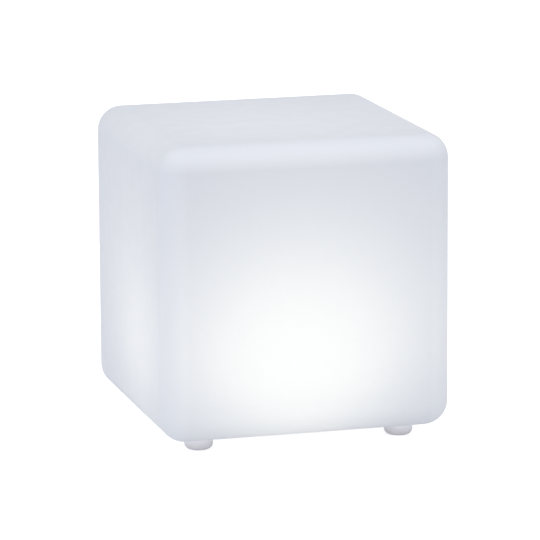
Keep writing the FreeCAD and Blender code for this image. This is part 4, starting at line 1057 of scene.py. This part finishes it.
# Clear amber over a glossy film, with faint ripples along the tape.
tape = stuff("polyimide_tape", "#b9792a", 0.20, ("#ad6e22", "#c78735", 5, 3.0),
             gloss=(0.14, 0.30, 3), relief=(0.06, 4, 2, (0.4, 1, 1)), ior=1.7)

cell_low, cell_high = (Vector(corner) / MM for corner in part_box("battery_cell"))
start, end = ((x, cell_low.y + 8, cell_high.z + 0.05) for x in TAPE_SIDES)
path = [(0, -6.8, 0), *((0, y, z) for y, z in TAPE_BEND), (0, 0, -5.70),
        *((0, -y, z) for y, z in reversed(TAPE_BEND)), (0, 2.4, 0)]
shape = bmesh.new()
strip(shape, start, end, path, TAPE_SHEET)
fit("cell_tape", shape, tape, "lamp")

# %% [markdown]
# ## Screw threads
#
# A thread is a small ridge that climbs round the shank: a triangle spun about the screw's axis,
# moved up by one pitch each turn. Plastic and brass hide the ridges while the lamp is together,
# but a screw that is taken out has its thread.

# %% Threads of the screws
COVER_SCREWS = on_circle(61.5, 6, 30)
FOOT_SCREWS = on_circle(70 * math.sqrt(2), 4, 45)
LID_SCREWS = on_circle(49.8, 4, 45)
RIDGE = 0.16
RIDGE_SUNK = 0.02
STEPS_PER_TURN = 14


def thread(shape, x, y, low, high, radius, pitch):
    """Adds a ridge that climbs from low to high round a shank, all in millimetres."""
    # A triangle whose corners lie on a circle of radius 1 is 1.5 high.
    section = (Matrix.Translation(Vector((x + radius - RIDGE_SUNK, y, low)) * MM)
               @ Matrix.Rotation(math.pi / 2, 4, "X")
               @ Matrix.Diagonal((RIDGE / 1.5, pitch / 2, 1, 1))
               @ Matrix.Rotation(-math.pi / 2, 4, "Z"))
    bmesh.ops.create_circle(shape, cap_ends=True, segments=3, radius=MM, matrix=section)
    outline = shape.faces[:][-1].edges[:]
    turns = (high - low) / pitch
    spin_open(shape, outline, (x, y, 0), turns * 2 * math.pi, round(turns * STEPS_PER_TURN),
              pitch / STEPS_PER_TURN)


# Where the screws are, from and to which height, the shank's radius and the pitch.
THREADS = {"base_screw_threads": (COVER_SCREWS, 12.6, 16.0, 1.45, 0.6),
           "foot_screw_threads": (FOOT_SCREWS, 9.3, 13.0, 2.0, 0.8),
           "lid_screw_threads": (LID_SCREWS, 17.2, 22.0, 1.2, 0.6)}
for name, (places, *sizes) in THREADS.items():
    shape = bmesh.new()
    for x, y in places:
        thread(shape, x, y, *sizes)
    fit(name, shape, screw_steel, "lamp")

# %% [markdown]
# ## Knurls of the brass inserts
#
# A brass insert is pressed into its boss while hot, and its knurl, two bands of small teeth with a
# groove between them, keeps it from turning or pulling out. The teeth are blocks set round the
# insert.

# %% Teeth
TEETH = 20
TOOTH = (0.30, 0.36)  # deep and wide
BAND_SHARE = 0.38  # of the insert's length
BAND_FROM_END = 0.2

INSERTS = {"foot_insert_knurls": ("foot_inserts", FOOT_SCREWS, 2.8),
           "seat_insert_knurls": ("seat_inserts", COVER_SCREWS, 2.3)}
for name, (insert, places, radius) in INSERTS.items():
    low, high = (corner[2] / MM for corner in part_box(insert))
    band = (high - low) * BAND_SHARE
    shape = bmesh.new()
    for x, y in places:
        for z in (low + BAND_FROM_END + band / 2, high - BAND_FROM_END - band / 2):
            for count in range(TEETH):
                angle = 2 * math.pi * count / TEETH
                place = (x + radius * math.cos(angle), y + radius * math.sin(angle), z)
                bar(shape, place, (*TOOTH, band), angle)
    soften(shape, 0.06, segments=1)
    fit(name, shape, brass, "lamp")
